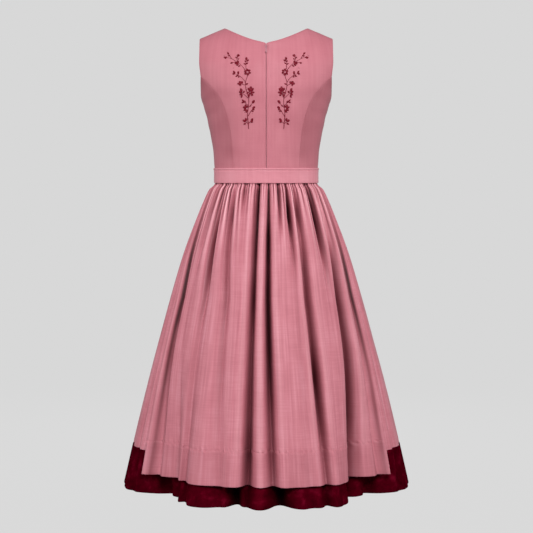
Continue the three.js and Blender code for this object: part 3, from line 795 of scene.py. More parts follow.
@dataclass
class Bodice:
    """The seven panels of the bodice, with turned edges along the seams, neckline and armholes."""

    trunk: Trunk
    finish: WovenSatinFinish
    thick: float = 1.2

    def centre_place(self, side: Side, u: np.ndarray, v: np.ndarray) -> tuple[np.ndarray, np.ndarray]:
        """Width and height on a centre panel: u runs from the middle, 0, to the side edge, 1, and v is the
        side edge's height.

        Args:
            side: The back or the front.
            u: Share of the panel's width.
            v: Height on its side edge.

        Returns:
            The widths and the heights.
        """
        t = self.trunk
        climb = (v - t.waist_z) / (t.shoulder_tip_z - t.waist_z)
        s = np.clip(u / t.neck_share, 0, 1)
        if side is Side.BACK:
            neck_x, neck_z = t.neck_point_x * s, t.back_neckline(t.neck_point_x * s)
        else:
            turn = s * math.pi / 2
            neck_x = t.neck_point_x * np.sin(turn) ** 0.75
            neck_z = t.neck_z[side] * np.cos(turn) ** 0.75
        along = np.clip((u - t.neck_share) / (1 - t.neck_share), 0, 1)
        shoulder_x = t.neck_point_x + along * (t.shoulder_tip_x - t.neck_point_x)
        top_x = np.where(u > t.neck_share, shoulder_x, neck_x)
        top_z = np.where(u > t.neck_share, along * t.shoulder_tip_z, neck_z)
        edge_x = np.where(v < t.armhole_seam_z, t.princess[side](v), t.armhole(v))
        middle_z = t.waist_z + (t.neck_z[side] - t.waist_z) * climb
        neck_line = t.neck_z[side] + (t.shoulder_tip_z - t.neck_z[side]) * u
        z = middle_z + (v - middle_z) * u + climb * (top_z - neck_line)
        x = u * edge_x + climb * (top_x - u * t.shoulder_tip_x)
        slit = (1 - u) * t.slit / 2 if side is Side.BACK else 0.0
        return x + slit - u * t.seam_gap / 2, z

    def side_place(self, side: Side, share: np.ndarray, v: np.ndarray) -> tuple[np.ndarray, np.ndarray]:
        """Width and height on a side panel: share runs from the princess seam to the side seam, v from the
        waist to the armhole.

        Args:
            side: The back or the front.
            share: Share of the panel's width.
            v: Share of its height.

        Returns:
            The widths and the heights.
        """
        t = self.trunk
        u = 1.0014 * share - 0.0014  # the two edges meet in the seam
        seam_z = t.waist_z + (t.armhole_seam_z - t.waist_z) * v
        side_z = t.waist_z + (t.underarm_z - t.waist_z) * v
        z = seam_z + (side_z - seam_z) * np.maximum(u, 0) ** 0.8
        start = np.arcsin(np.clip(t.princess[side](seam_z) / t.half(seam_z), 0, 1))
        turn = start + (math.pi / 2 - start) * u
        return t.half(z) * np.sin(turn), z

    @staticmethod
    def spaced(count: int, ends: tuple[bool, bool]) -> np.ndarray:
        """Shares from 0 to 1, close together near the ends that are turned edges.

        Args:
            count: How many shares lie evenly.
            ends: Whether the start and the end are turned edges.

        Returns:
            The shares, in rising order.
        """
        inner = np.linspace(0, 1, count)
        near = np.array([0.004, 0.012, 0.024])
        parts = [inner, near if ends[0] else near[:0], 1 - near if ends[1] else near[:0]]
        return np.unique(np.concatenate(parts))

    def net(self, side: Side, x: np.ndarray, z: np.ndarray, edges: Sequence[str], seam: str) -> ClothNet:
        """A panel's net from its widths and heights, its named edges rolled under. It gets a little painted
        shade just below its top edge and, fading out towards the waist, painted shade beside the princess
        seam and, more strongly, all over a side panel.

        Args:
            side: The back or the front.
            x: Width at each point.
            z: Height at each point.
            edges: Which of left, right, top and bottom are rolled.
            seam: The edge at the princess seam: right for a centre panel, and left for a side panel.

        Returns:
            The net, on the cloth's outer face.
        """
        flat_points = self.trunk.point(side, x, z)
        lengths_u = np.linalg.norm(np.diff(flat_points, axis=1), axis=2)
        lengths_v = np.linalg.norm(np.diff(flat_points, axis=0), axis=2)
        along_u = np.concatenate([np.zeros((x.shape[0], 1)), np.cumsum(lengths_u, axis=1)], axis=1)
        along_v = np.concatenate([np.zeros((1, x.shape[1])), np.cumsum(lengths_v, axis=0)], axis=0)
        reach = {
            "left": along_u,
            "right": along_u[:, -1:] - along_u,
            "top": along_v,
            "bottom": along_v[-1:] - along_v,
        }
        depths = {edge: 0.4 if edge == seam else 0.75 for edge in edges}
        roll = sum(-deep * np.exp(-((reach[edge] / 1.5) ** 2)) for edge, deep in depths.items())
        ridge = sum(0.25 * deep * bump_at(reach[edge], 5.0, 1.8) for edge, deep in depths.items())
        points = self.trunk.point(side, x, z, np.maximum(roll + ridge, -0.85))
        flat = np.stack([x, z], axis=-1)
        flat[..., 0] = (along_u - along_u[:, :1]) * np.sign(x[:, -1:] - x[:, :1]) + x[:, :1]
        # Painted shade: a little below the top edge, and, fading out towards the waist, beside the princess
        # seam and all over a side panel
        near_seam = np.exp(-((reach[seam] / 30) ** 2))
        shade = 0.1 * np.exp(-reach["top"] / 10) + ease(z, -385, -290) * (
            0.2 + 0.13 * near_seam if seam == "left" else 0.1 * near_seam
        )
        return ClothNet(points, flat, slit=shade)

    def centre_net(self, side: Side) -> ClothNet:
        """The net of the right back panel, or of the whole front panel.

        Args:
            side: The back or the front.

        Returns:
            The net.
        """
        us = self.spaced(60, (side is Side.BACK, True))
        if side is Side.FRONT:
            us = -np.r_[-us[::-1], us[1:]]
        heights = np.r_[-26.0, -26.7, -28.5, -32, np.linspace(-38, -362, 96), -366]
        u, v = np.meshgrid(us, heights)
        x, z = self.centre_place(side, np.abs(u), v)
        x = np.where(u < 0, -x, x)
        return self.net(side, x, z, ["left", "right", "top"], "right")

    def side_net(self, side: Side) -> ClothNet:
        """The net of the right side panel, back or front.

        Args:
            side: The back or the front.

        Returns:
            The net.
        """
        us = self.spaced(40, (True, True))
        if side is Side.FRONT:
            us = us[::-1]
        shares = np.r_[1.0, 0.997, 0.99, np.linspace(0.975, 0, 80)]
        u, v = np.meshgrid(us, shares)
        x, z = self.side_place(side, u, v)
        return self.net(side, x, z, ["left", "right", "top"], "left")

    def close_shoulder(self, panel: bpy.types.Object) -> None:
        """Brings a panel's shoulder edge to the middle, where it meets the other panel in the shoulder
        seam.

        Args:
            panel: The panel, changed in place.
        """
        t = self.trunk
        slope = t.shoulder_tip_z / (t.shoulder_tip_x - t.neck_point_x)
        for vertex in panel.data.vertices:
            x, y, z = (value / MILLIMETRE for value in vertex.co)
            below = slope * (abs(x) - t.neck_point_x) - z
            if abs(x) > t.neck_point_x - 1 and below < 2.2 and abs(y) < 2.4:
                vertex.co.y = 0.0

    def build(self) -> list[bpy.types.Object]:
        """Builds and dresses every panel.

        Returns:
            The panels' objects.
        """
        material = self.finish.build()
        plans = [
            ("bodice_front", self.centre_net(Side.FRONT), (0.36, 0.3), 0.095),
            ("bodice_back_right", self.centre_net(Side.BACK), (0.2, 0.36), 0.048),
            ("bodice_back_left", self.centre_net(Side.BACK).mirrored(), (0.2, 0.36), 0.048),
            ("bodice_side_back_right", self.side_net(Side.BACK), (0.14, 0.26), 0.021),
            ("bodice_side_back_left", self.side_net(Side.BACK).mirrored(), (0.14, 0.26), 0.021),
            ("bodice_side_front_right", self.side_net(Side.FRONT), (0.17, 0.26), 0.026),
            ("bodice_side_front_left", self.side_net(Side.FRONT).mirrored(), (0.17, 0.26), 0.026),
        ]
        panels = []
        for node, net, cut, area in plans:
            panel = net.wall(f"{node}_cloth", self.thick, material)
            self.close_shoulder(panel)
            LOG.info("%s: %.4f square metres", node, net.area())
            dress_cloth(panel, node)
            panels.append(panel)
        return panels


def dress_cloth(
    piece: bpy.types.Object,
    node: str,
) -> None:
    """Rides a piece of cloth on the garment in place of its solid, which it hides.

    Args:
        piece: The cloth.
        node: The solid that it stands for.
    """
    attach(piece, GARMENT)
    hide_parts(node)


# The skirt's form


@dataclass(frozen=True)
class Fold:
    """A fold from the gathers towards the hem. Mid names its lane of cloth, whose angle in degrees round
    the skirt from the centre back is mid and drift together at mid height; waist and hem are its angles
    there. The depths are in millimetres just below the waist, at mid height, at the overskirt's hem and
    at the border's hem. Width is half the opening in degrees. Creases are how much deeper the narrow
    slit in the fold's floor is at CREASE_SHARES of the length."""

    waist: float
    mid: float
    hem: float
    top: float
    deep: float
    low: float
    border: float
    width: float
    drift: float
    creases: tuple[float, ...]

    def crease(self, share: np.ndarray) -> np.ndarray:
        """How deep the slit in the fold's floor is at shares of the length, in millimetres."""
        return np.interp(share, CREASE_SHARES, self.creases)

    def mirrored(self) -> "Fold":
        """The same fold on the other side of the centre back."""
        return replace(self, waist=-self.waist, mid=-self.mid, hem=-self.hem, drift=-self.drift)


@dataclass(frozen=True)
class Hollow:
    """A broad hollow between the lobes of the hem: its middle and half its opening in degrees at mid height,
    how far it draws the border's hem in, and the share of the length where it begins."""

    mid: float
    width: float
    depth: float
    begins: float
    overskirt: bool


@dataclass(frozen=True)
class Gather:
    """A short crease below the waistband: its angle there, its depth, how far down it reaches, and its
    width."""

    angle: float
    depth: float
    reach: float
    width: float = 1.15


# A crease's painted shade is full at this depth
FULL_CREASE = 22.0  # millimetres; a crease this deep is fully dark
CREASE_SHARES = (0.0, 0.05, 0.12, 0.2, 0.29, 0.39, 0.5, 0.62, 0.75, 0.85, 1.0)
BACK_FOLDS = (
    Fold(-74, -57, -56, 5, 15, 14, 16, 2.6, -4, (0, 10, 15, 18, 24, 26, 19, 18, 13, 11, 7)),
    Fold(-58, -47, -43, 6, 5, 7, 9, 2.8, -3, (0, 12, 10, 6, 1, 0, 0, 0, 0, 0, 0)),
    Fold(-48, -37, -37, 7, 7, 21, 26, 3.0, -2, (0, 14, 14, 17, 15, 9, 4, 3, 4, 4, 3)),
    Fold(-38, -23, -19, 6, 8, 8, 18, 3.0, -1, (0, 8, 16, 10, 10, 9, 6, 6, 3, 1, 0)),
    Fold(-24, -15.5, -14, 5, 1, 1, 2, 2.6, 0, (0, 12, 3, 1, 0, 0, 0, 0, 0, 0, 0)),
    Fold(-7.5, -8, -8, 7, 19, 28, 16, 2.8, 0, (0, 19, 20, 18, 17, 20, 16, 16, 16, 18, 10)),
    Fold(3.5, 1, 3, 6, 21, 20, 12, 2.6, 0, (0, 12, 14, 26, 20, 23, 23, 20, 14, 12, 6)),
    Fold(14, 10, 11, 5, 1, 1, 2, 2.6, 0, (0, 16, 8, 0, 0, 0, 0, 0, 0, 0, 0)),
    Fold(22, 17, 18, 7, 4, 5, 10, 2.8, 1, (0, 12, 25, 11, 5, 3, 3, 3, 1, 0, 0)),
    Fold(31, 24, 25.5, 5, 15, 12, 22, 2.6, 1.5, (0, 9, 17, 10, 15, 15, 15, 21, 16, 9, 5)),
    Fold(49, 38, 32, 8, 2, 1, 2, 2.8, 2.5, (0, 19, 24, 18, 8, 2, 0, 0, 0, 0, 0)),
    Fold(63, 46, 42.5, 4, 19, 28, 28, 3.2, 3.8, (0, 8, 5, 6, 15, 18, 17, 18, 19, 15, 9)),
    Fold(73, 58, 58, 5, 13, 12, 15, 2.6, 5, (0, 9, 10, 16, 22, 22, 18, 12, 12, 9, 5)),
)
SIDE_FOLDS = (
    Fold(84, 72, 71, 3, 6, 9, 8, 2.8, 2, (0, 6, 7, 6, 4, 3, 2, 2, 2, 1, 0)),
    Fold(88, 85, 84, 3, 3, 5, 5, 3.0, 1, (0, 7, 9, 5, 3, 2, 1, 1, 1, 1, 0)),
    Fold(92, 97, 98, 3, 8, 12, 11, 3.0, -1, (0, 8, 10, 9, 7, 6, 5, 4, 3, 3, 2)),
    Fold(96, 109, 110, 3, 5, 6, 6, 2.8, -2.5, (0, 8, 7, 4, 2, 1, 1, 1, 1, 0, 0)),
)
FRONT_FOLDS = (
    Fold(114, 122, 123, 5, 13, 15, 20, 2.6, -3, (0, 8, 9, 12, 18, 19, 14, 12, 9, 7, 4)),
    Fold(127, 132, 136, 6, 6, 8, 10, 2.8, 0, (0, 12, 15, 8, 3, 1, 0, 0, 0, 0, 0)),
    Fold(139, 143, 142, 7, 9, 19, 32, 3.0, 0, (0, 13, 15, 16, 17, 14, 12, 14, 13, 10, 6)),
    Fold(151, 155, 158, 6, 17, 12, 18, 2.8, 0, (0, 10, 14, 17, 18, 20, 17, 12, 6, 3, 0)),
    Fold(163, 165, 167, 6, 3, 4, 6, 2.8, 0, (0, 17, 18, 6, 1, 0, 0, 0, 0, 0, 0)),
    Fold(173, 174, 174, 7, 18, 23, 36, 2.8, 0, (0, 16, 19, 21, 18, 20, 21, 19, 17, 15, 8)),
    Fold(184, 185, 184, 6, 5, 7, 10, 2.8, 0, (0, 12, 6, 1, 0, 0, 0, 0, 0, 0, 0)),
    Fold(196, 194, 195, 6, 19, 15, 24, 2.6, 0, (0, 13, 17, 22, 21, 19, 18, 20, 16, 11, 6)),
    Fold(208, 206, 204, 7, 6, 9, 14, 3.0, 0, (0, 17, 21, 12, 6, 3, 2, 2, 1, 0, 0)),
    Fold(220, 215, 217, 6, 16, 22, 38, 3.0, 0, (0, 10, 13, 14, 17, 18, 16, 16, 18, 14, 8)),
    Fold(233, 227, 226, 7, 5, 6, 8, 2.8, 0, (0, 14, 17, 12, 6, 2, 0, 0, 0, 0, 0)),
    Fold(246, 238, 237, 5, 14, 15, 20, 2.6, 3, (0, 8, 8, 12, 18, 18, 14, 11, 10, 8, 4)),
)
HOLLOWS = (
    Hollow(-48, 8.5, 44, 0.5, True),
    Hollow(-58, 9.5, 46, 0.87, False),
    Hollow(-14.5, 4.6, 62, 0.87, False),
    Hollow(5, 4.2, 58, 0.87, False),
    Hollow(58, 9.5, 46, 0.87, False),
    Hollow(48, 8.5, 44, 0.5, True),
    Hollow(133, 8, 34, 0.5, True),
    Hollow(160, 5, 34, 0.87, False),
    Hollow(189, 4.6, 44, 0.87, False),
    Hollow(228, 8.5, 36, 0.5, True),
)
BACK_GATHERS = (
    Gather(-72, 2.6, 60),
    Gather(-66, 4.2, 150, 1.0),
    Gather(-59, 2.4, 45),
    Gather(-55.5, 2.2, 30, 0.9),
    Gather(-51, 4.6, 120, 1.0),
    Gather(-44, 4.2, 90, 0.95),
    Gather(-40.5, 3.6, 130, 0.9),
    Gather(-35.5, 3.0, 40, 0.9),
    Gather(-30, 3.6, 110),
    Gather(-25.8, 2.6, 36, 0.9),
    Gather(-19.8, 3.4, 62),
    Gather(-16, 2.2, 30, 0.8),
    Gather(-12, 3.4, 60, 0.9),
    Gather(-7.2, 4.4, 160, 1.0),
    Gather(-2, 2.4, 30, 0.9),
    Gather(3.4, 4.2, 150, 0.9),
    Gather(8.2, 3.4, 40, 0.9),
    Gather(13.2, 4.0, 70),
    Gather(18, 3.4, 90, 0.9),
    Gather(22.8, 3.0, 40, 0.9),
    Gather(28.4, 4.2, 140, 1.0),
    Gather(33.7, 3.0, 46, 0.9),
    Gather(38.6, 3.4, 60),
    Gather(44.2, 4.6, 120, 0.95),
    Gather(48.6, 2.6, 40, 0.9),
    Gather(53.2, 3.8, 110),
    Gather(59.5, 2.8, 60),
    Gather(66, 4.0, 150, 1.0),
    Gather(71.5, 2.6, 50),
)

# Angles of the small gathers between them, which end a finger's width below the band
SMALL_GATHERS = (
    -69, -62.5, -48, -33, -23, -9.7, -4.6, 0.6, 5.8, 10.8, 15.6, 25.6, 31, 36.2, 41.3, 46.5, 51, 56.3, 62.8
)


@dataclass(frozen=True)
class SkirtRow:
    """The skirt's outline round its ridges at one height."""

    z: float
    half: float
    back: float
    front: float


@dataclass
class SkirtForm:
    """The form of the skirt and overskirt, as the solids have it, with gathers and leaning folds."""

    waist_z: float = -366.0
    band_z: float = -385.0
    border_z: float = -1038.0
    overskirt_hem_z: float = -1092.0
    hem_z: float = -1142.0
    edge_waist: float = 80.0
    edge_mid: float = 61.5
    edge_drift: float = 5.5
    mid_share: float = 0.38
    top_share: float = 0.07
    tuck_band: float = 3.9
    tuck_layers: float = 5.2
    tuck_low: float = 8.5
    tuck_hem: float = 2.0
    gather_rise: float = 1.7
    slit_depth: float = 1.15
    gather_depth: float = 1.45
    rows: tuple[SkirtRow, ...] = (
        SkirtRow(-366, 131, 86.8, 95.3),
        SkirtRow(-385, 131, 86.8, 95.3),
        SkirtRow(-400, 142.5, 99, 107),
        SkirtRow(-437, 160, 117, 123),
        SkirtRow(-477, 176, 134, 138),
        SkirtRow(-557, 206, 162, 165),
        SkirtRow(-637, 231, 189, 189),
        SkirtRow(-757, 265, 228, 222),
        SkirtRow(-877, 297, 264, 252),
        SkirtRow(-1038, 336, 313, 292),
        SkirtRow(-1142, 360, 346, 320),
    )

    def __post_init__(self) -> None:
        """Makes the curves and the list of folds all round."""
        self.half = Curve([(r.z, r.half) for r in self.rows])
        self.back = Curve([(r.z, r.back) for r in self.rows])
        self.front = Curve([(r.z, r.front) for r in self.rows])
        folds = [*BACK_FOLDS, *SIDE_FOLDS, *[f.mirrored() for f in SIDE_FOLDS], *FRONT_FOLDS]
        self.folds = sorted(folds, key=lambda f: f.mid)
        edge = (self.edge_mid, self.edge_waist, self.edge_mid + self.edge_drift, self.edge_mid)
        edges = [tuple(turn + sign * a for a in edge) for turn in (0, 180) for sign in (-1, 1)]
        stops = [(f.mid, f.waist, f.mid + f.drift, f.hem) for f in self.folds] + edges
        around = sorted(tuple(a + turn for a in stop) for turn in (-360, 0, 360) for stop in stops)
        self.stops = np.array(around)
        small = [Gather(angle, 2.0, 24, 0.8) for angle in SMALL_GATHERS]
        back = [*BACK_GATHERS, *small]
        front = [Gather(180 - g.angle * 0.985 + 1.1, g.depth * 0.95, g.reach, g.width) for g in back]
        self.gathers = [*back, *front]

    def share(self, z: np.ndarray) -> np.ndarray:
        """How far down the skirt heights are: 0 at the waist and 1 at the hem."""
        return (self.waist_z - z) / (self.waist_z - self.hem_z)

    def waist_angle(self, lane: np.ndarray) -> np.ndarray:
        """A lane's angle at the waist."""
        return np.interp(lane, self.stops[:, 0], self.stops[:, 1])

    def angle(self, lane: np.ndarray, share: np.ndarray) -> np.ndarray:
        """The angle round the skirt of lanes at shares of its length.

        Args:
            lane: Lanes, as angles at mid height.
            share: Shares of the skirt's length.

        Returns:
            The angles in degrees from the centre back.
        """
        waist = self.waist_angle(lane)
        middle, hem = (np.interp(lane, self.stops[:, 0], self.stops[:, i]) for i in (2, 3))
        evenness = 0.5 + 0.5 * np.abs(np.sin(np.radians(lane)))
        high = waist + (middle - waist) * np.clip(share / self.mid_share, 0, 1) ** evenness
        low = middle + (hem - middle) * np.clip((share - self.mid_share) / (1 - self.mid_share), 0, 1)
        return np.where(share < self.mid_share, high, low)

    def fold_depth(self, fold: Fold, share: np.ndarray, layer: Layer) -> np.ndarray:
        """A fold's depth at shares of the skirt's length.

        Args:
            fold: The fold.
            share: Shares of the skirt's length.
            layer: The skirt or the overskirt.

        Returns:
            The depths in millimetres.
        """
        low = fold.low + (fold.border - fold.low) * ease(share, 0.85, 1) if layer is Layer.SKIRT else fold.low
        top = np.interp(share, [0, self.top_share], [0.2 * fold.top, fold.top])
        down = (share - self.top_share) / (self.mid_share - self.top_share)
        rest = fold.top + (fold.deep - fold.top) * down
        deep = fold.deep + (low - fold.deep) * (share - self.mid_share) / (1 - self.mid_share)
        return np.where(share < self.top_share, top, np.where(share < self.mid_share, rest, deep))

    def cover(self, lane: np.ndarray) -> np.ndarray:
        """How far lanes lie under the overskirt: 1 well inside its side edge, and 0 where the skirt is
        bare.

        Args:
            lane: Lanes, as angles at mid height.

        Returns:
            The cover, from 0 to 1.
        """
        from_side = np.abs(lane % 180 - 90)
        spread = 90 - self.edge_mid
        return ease(from_side, spread - 9, spread - 2)

    def points(self, layer: Layer, lane: np.ndarray, z: np.ndarray) -> np.ndarray:
        """Points on the outer face of the skirt or overskirt.

        Args:
            layer: Which of the two.
            lane: Lanes, as angles at mid height.
            z: Heights.

        Returns:
            The points, with x, y and z last.
        """
        lane, z = np.broadcast_arrays(np.asarray(lane, dtype=float), np.asarray(z, dtype=float))
        share = self.share(z)
        inward = np.zeros_like(z)
        degree = self.degree(z)
        for fold in self.folds:
            apart = wrapped(lane - fold.mid)
            shape = np.exp(-((apart / fold.width) ** 2))
            inward += self.fold_depth(fold, share, layer) * shape * (0.55 + 0.45 * ease(share, 0.45, 0.9))
            from_slit = np.abs(apart * degree / self.slit_width(share))
            inward += self.slit_depth * fold.crease(share) * np.exp(-(from_slit**1.7))
        for hollow in HOLLOWS:
            if layer is Layer.SKIRT or hollow.overskirt:
                shape = np.exp(-((wrapped(lane - hollow.mid) / hollow.width) ** 2))
                inward += hollow.depth * ease(share, hollow.begins, 1) * shape
        waist_angle = self.waist_angle(lane)
        below = np.maximum(self.band_z - z, 0.0)
        for gather in self.gathers:
            apart = wrapped(waist_angle - gather.angle)
            fade = (1 - np.exp(-below / 4.5)) * np.exp(-((below / gather.reach) ** 1.5))
            opening = 1.7 * gather.width * (1 + below / 100)
            inward += self.gather_depth * gather.depth * fade * np.exp(-((apart * degree / opening) ** 2))
        gathers_end = 2 * self.gather_rise * (1 - ease(share, 0.045, 0.17))
        if layer is Layer.SKIRT:
            cover = self.cover(lane)
            hanging = self.tuck_layers + gathers_end
            hanging = hanging + (self.tuck_low - hanging) * ease(share, 0.4, 0.8)
            under = hanging + (self.tuck_hem - hanging) * ease(share, 0.94, 1)
            band_share = self.share(np.array(self.band_z))
            settle = ease(share, band_share + 0.002, band_share + 0.025)
            inward += self.tuck_band + (under * cover - self.tuck_band) * settle
        turn = np.radians(self.angle(lane, share))
        half = self.half(z)
        deep = np.where(np.cos(turn) > 0, self.back(z), self.front(z))
        out = np.stack([np.sin(turn) / half, -np.cos(turn) / deep], axis=-1)
        out /= np.linalg.norm(out, axis=-1, keepdims=True)
        rise = self.ripple(lane, z) - inward
        x, y = half * np.sin(turn) + rise * out[..., 0], -deep * np.cos(turn) + rise * out[..., 1]
        return np.stack([x, y, z], axis=-1)

    def degree(self, z: np.ndarray) -> np.ndarray:
        """What a degree round the skirt measures in millimetres at heights."""
        return math.radians(1) * (self.half(z) + self.back(z)) / 2

    @staticmethod
    def slit_width(share: np.ndarray) -> np.ndarray:
        """Half the width of the slits in the folds' floors, in millimetres, at shares of the length."""
        return 3.0 + 8.5 * share

    def slit(self, layer: Layer, lane: np.ndarray, z: np.ndarray) -> np.ndarray:
        """The painted shade and painted highlight on the cloth: 0 in the open, up to 1 of painted shade deep
        in a slit where hardly any light reaches, and below 0 for a painted highlight on the crests beside the
        slits.

        Args:
            layer: The skirt or the overskirt.
            lane: Lanes, as angles at mid height.
            z: Heights.

        Returns:
            The painted shade, from -1 for painted highlight to 1.
        """
        share = self.share(z)
        degree = self.degree(z)
        open_part, flat_part = np.ones_like(z), np.ones_like(z)
        for fold in self.folds:
            # Painted shade in each fold's slit and painted highlight on the crests beside it; near the sides
            # only the flank that turns outwards shows from the back or the front, so the painted shade sits
            # on that flank
            flank = fold.mid + np.clip(1.35 * math.tan(math.radians(fold.mid)), -2.4, 2.4)
            sideways = abs(math.sin(math.radians(fold.mid)))
            wide = self.slit_width(share) * (1.1 - 0.7 * ease(sideways, 0.74, 0.84))
            apart = np.abs(wrapped(lane - flank)) * degree / wide
            deep = np.clip(fold.crease(share) / FULL_CREASE, 0, 1)
            open_part *= 1 - 0.97 * deep * np.exp(-(apart**1.7))
            flat_part *= 1 - 0.22 * deep * np.exp(-(((apart - 2.2) / 0.9) ** 2))
        # Painted shade in the slits of the gathers below the band, and painted highlight on the crests
        # between them
        below = np.maximum(self.band_z - z, 0.0)
        waist_angle = self.waist_angle(lane)
        for gather in self.gathers:
            fade = np.exp(-((below / gather.reach) ** 1.5)) * min(1.0, gather.depth / 3.4)
            wide = 1.15 * gather.width * (1 + below / 90)
            apart = np.abs(wrapped(waist_angle - gather.angle)) * degree / wide
            open_part *= 1 - 0.96 * fade * np.exp(-(apart**2))
            flat_part *= 1 - 0.9 * fade * np.exp(-(((apart - 2.6) / 1.2) ** 2))
        # Painted shadow in a narrow line just under the waistband
        open_part *= 1 - 0.8 * np.exp(-below / 2.2)
        # Painted shade in the narrow hollows of the velvet border's hem
        if layer is Layer.SKIRT:
            for hollow in HOLLOWS:
                if not hollow.overskirt and hollow.width < 7:
                    reach = ease(share, hollow.begins, 0.95)
                    shape = np.exp(-((wrapped(lane - hollow.mid) / (0.8 * hollow.width)) ** 2))
                    open_part *= 1 - 0.9 * reach * shape
        return 1 - open_part - open_part * (1 - flat_part)

    def ripple(self, lane: np.ndarray, z: np.ndarray) -> np.ndarray:
        """Slight unevenness of hanging cloth, long down the skirt and narrow across it."""
        strength = ease(self.share(z), 0.03, 0.2)
        broad, fine = smooth_noise(lane / 5.5, z / 420, 21), smooth_noise(lane / 2.1, z / 260, 22)
        return strength * (0.9 * broad + 0.35 * fine)


@dataclass
class Skirts:
    """The skirt's two halves, their velvet border, and the overskirt's two panels."""

    form: SkirtForm
    cloth: WovenSatinFinish
    over_cloth: WovenSatinFinish
    velvet: VelvetFinish
    hem_depth: float = 79.0

    def net(self, layer: Layer, lanes: np.ndarray, heights: np.ndarray) -> ClothNet:
        """A net of the skirt or overskirt, with its place on the flat cloth.

        Args:
            layer: The skirt or the overskirt.
            lanes: The columns' lanes, as angles at mid height.
            heights: The rows' heights.

        Returns:
            The net.
        """
        lane, z = np.meshgrid(lanes, heights)
        points = self.form.points(layer, lane, z)
        width = 6.2 * (lane - lanes.mean())
        # Each point also carries the painted shade and painted highlight of the folds
        return ClothNet(points, np.stack([width, z], axis=-1), slit=self.form.slit(layer, lane, z))

    @staticmethod
    def drawn_in_at_seams(lane: np.ndarray) -> np.ndarray:
        """How far the side seams, where the two halves are sewn together, draw the cloth in."""
        from_seam = 90 - np.abs((lane + 90) % 180 - 90)
        return 0.7 * np.exp(-((from_seam / 0.35) ** 2))

    def overskirt(self, side: Side, material: bpy.types.Material) -> bpy.types.Object:
        """One panel of the overskirt, with its side edges and its deep hem.

        Args:
            side: The back or the front.
            material: The cloth.

        Returns:
            The panel.
        """
        f = self.form
        middle = 0.0 if side is Side.BACK else 180.0
        near = np.array([0.06, 0.2, 0.4, 0.8])
        whole = 2 * f.edge_mid
        lanes = np.r_[0, near, np.linspace(1.2, whole - 1.2, 380), whole - near[::-1], whole]
        lanes = np.unique(lanes) + middle - f.edge_mid
        heights = np.r_[
            np.linspace(f.band_z - 0.4, f.band_z - 60, 30),
            np.linspace(f.band_z - 66, f.overskirt_hem_z + self.hem_depth + 12, 42),
            np.linspace(f.overskirt_hem_z + self.hem_depth + 10, f.overskirt_hem_z + self.hem_depth - 10, 11),
            np.linspace(f.overskirt_hem_z + self.hem_depth - 16, f.overskirt_hem_z + 3, 10),
            [f.overskirt_hem_z + 1.6, f.overskirt_hem_z + 0.6, f.overskirt_hem_z],
        ]
        net = self.net(Layer.OVERSKIRT, lanes, heights)
        lane, z = np.meshgrid(lanes, heights)
        seam = f.overskirt_hem_z + self.hem_depth
        # The deep hem is darkened a little below its seam, through the painted shade values
        net.slit[:] += 0.12 * ease(seam - z, -2, 8) * (1 - np.abs(net.slit))
        pucker = 0.55 + 0.45 * smooth_noise(lane * 1.9, z / 30, 31)
        lift = -0.8 * bump_at(z, seam, 2.2) * pucker
        lift += 0.8 * bump_at(z, seam, 7.5) * smooth_noise(lane * 1.25 + 0.09 * z, z / 18, 32)
        lift += 0.35 * ease(seam - z, 0, 3)
        edge = np.minimum(lane - lanes[0], lanes[-1] - lane) * 5.6
        lift -= 0.7 * np.exp(-((edge / 1.4) ** 2)) + 0.25 * bump_at(edge, 9.0, 1.1)
        lift -= 0.5 * bump_at(z, f.overskirt_hem_z, 1.2)
        return net.moved_out(lift).wall(f"overskirt_{side.name.lower()}_cloth", 0.9, material)

    def skirt(self, side: Side, material: bpy.types.Material) -> bpy.types.Object:
        """One half of the skirt, from inside the waistband to the border.

        Args:
            side: The back or the front.
            material: The finish.

        Returns:
            The half.
        """
        f = self.form
        start = -90.0 if side is Side.BACK else 90.0
        lanes = start + np.linspace(0, 180, 350)
        gathered = np.linspace(f.waist_z - 0.6, f.band_z - 60, 30)
        heights = np.r_[gathered, np.linspace(f.band_z - 68, f.border_z + 0.2, 66)]
        net = self.net(Layer.SKIRT, lanes, heights)
        lane, z = np.meshgrid(lanes, heights)
        lift = -0.5 * bump_at(z, f.border_z, 1.6) - self.drawn_in_at_seams(lane)
        return net.moved_out(lift).wall(f"skirt_{side.name.lower()}_cloth", 1.0, material)

    def border(self, side: Side, material: bpy.types.Material) -> bpy.types.Object:
        """One half of the velvet border, thick and with a rolled hem.

        Args:
            side: The back or the front.
            material: The finish.

        Returns:
            The half.
        """
        f = self.form
        start = -90.0 if side is Side.BACK else 90.0
        lanes = start + np.linspace(0, 180, 440)
        heights = np.r_[
            [f.border_z - 0.2, f.border_z - 1, f.border_z - 2.5],
            np.linspace(f.border_z - 5, f.hem_z + 5, 26),
            [f.hem_z + 2.4, f.hem_z + 1, f.hem_z],
        ]
        net = self.net(Layer.SKIRT, lanes, heights)
        lane, z = np.meshgrid(lanes, heights)
        lift = 0.5 - 1.1 * bump_at(z, f.border_z, 1.5) - bump_at(z, f.hem_z, 1.6)
        lift -= self.drawn_in_at_seams(lane)
        return net.moved_out(lift).wall(f"border_{side.name.lower()}_velvet", 1.8, material)

    def build(self) -> list[bpy.types.Object]:
        """Builds and dresses the skirt, its border and the overskirt.

        Returns:
            The six pieces.
        """
        rose, over, velvet = self.cloth.build(), self.over_cloth.build(), self.velvet.build()
        pieces = []
        for side in Side:
            name = side.name.lower()
            for node, piece, slot, cut, area in (
                (f"skirt_{name}", self.skirt(side, rose), "skirt", (1.1, 0.69), 0.64),
                (f"border_{name}", self.border(side, velvet), "velvet", (1.36, 0.115), None),
                (f"overskirt_{name}", self.overskirt(side, over), "overskirt", (0.86, 0.785), 0.56),
            ):
                mesh = piece.data
                total = sum(p.area for p in mesh.polygons) / 2
                LOG.info("%s: %.3f square metres of cloth, %d faces", node, total, len(mesh.polygons))
                dress_cloth(piece, node)
                pieces.append(piece)
        return pieces


# The waistband


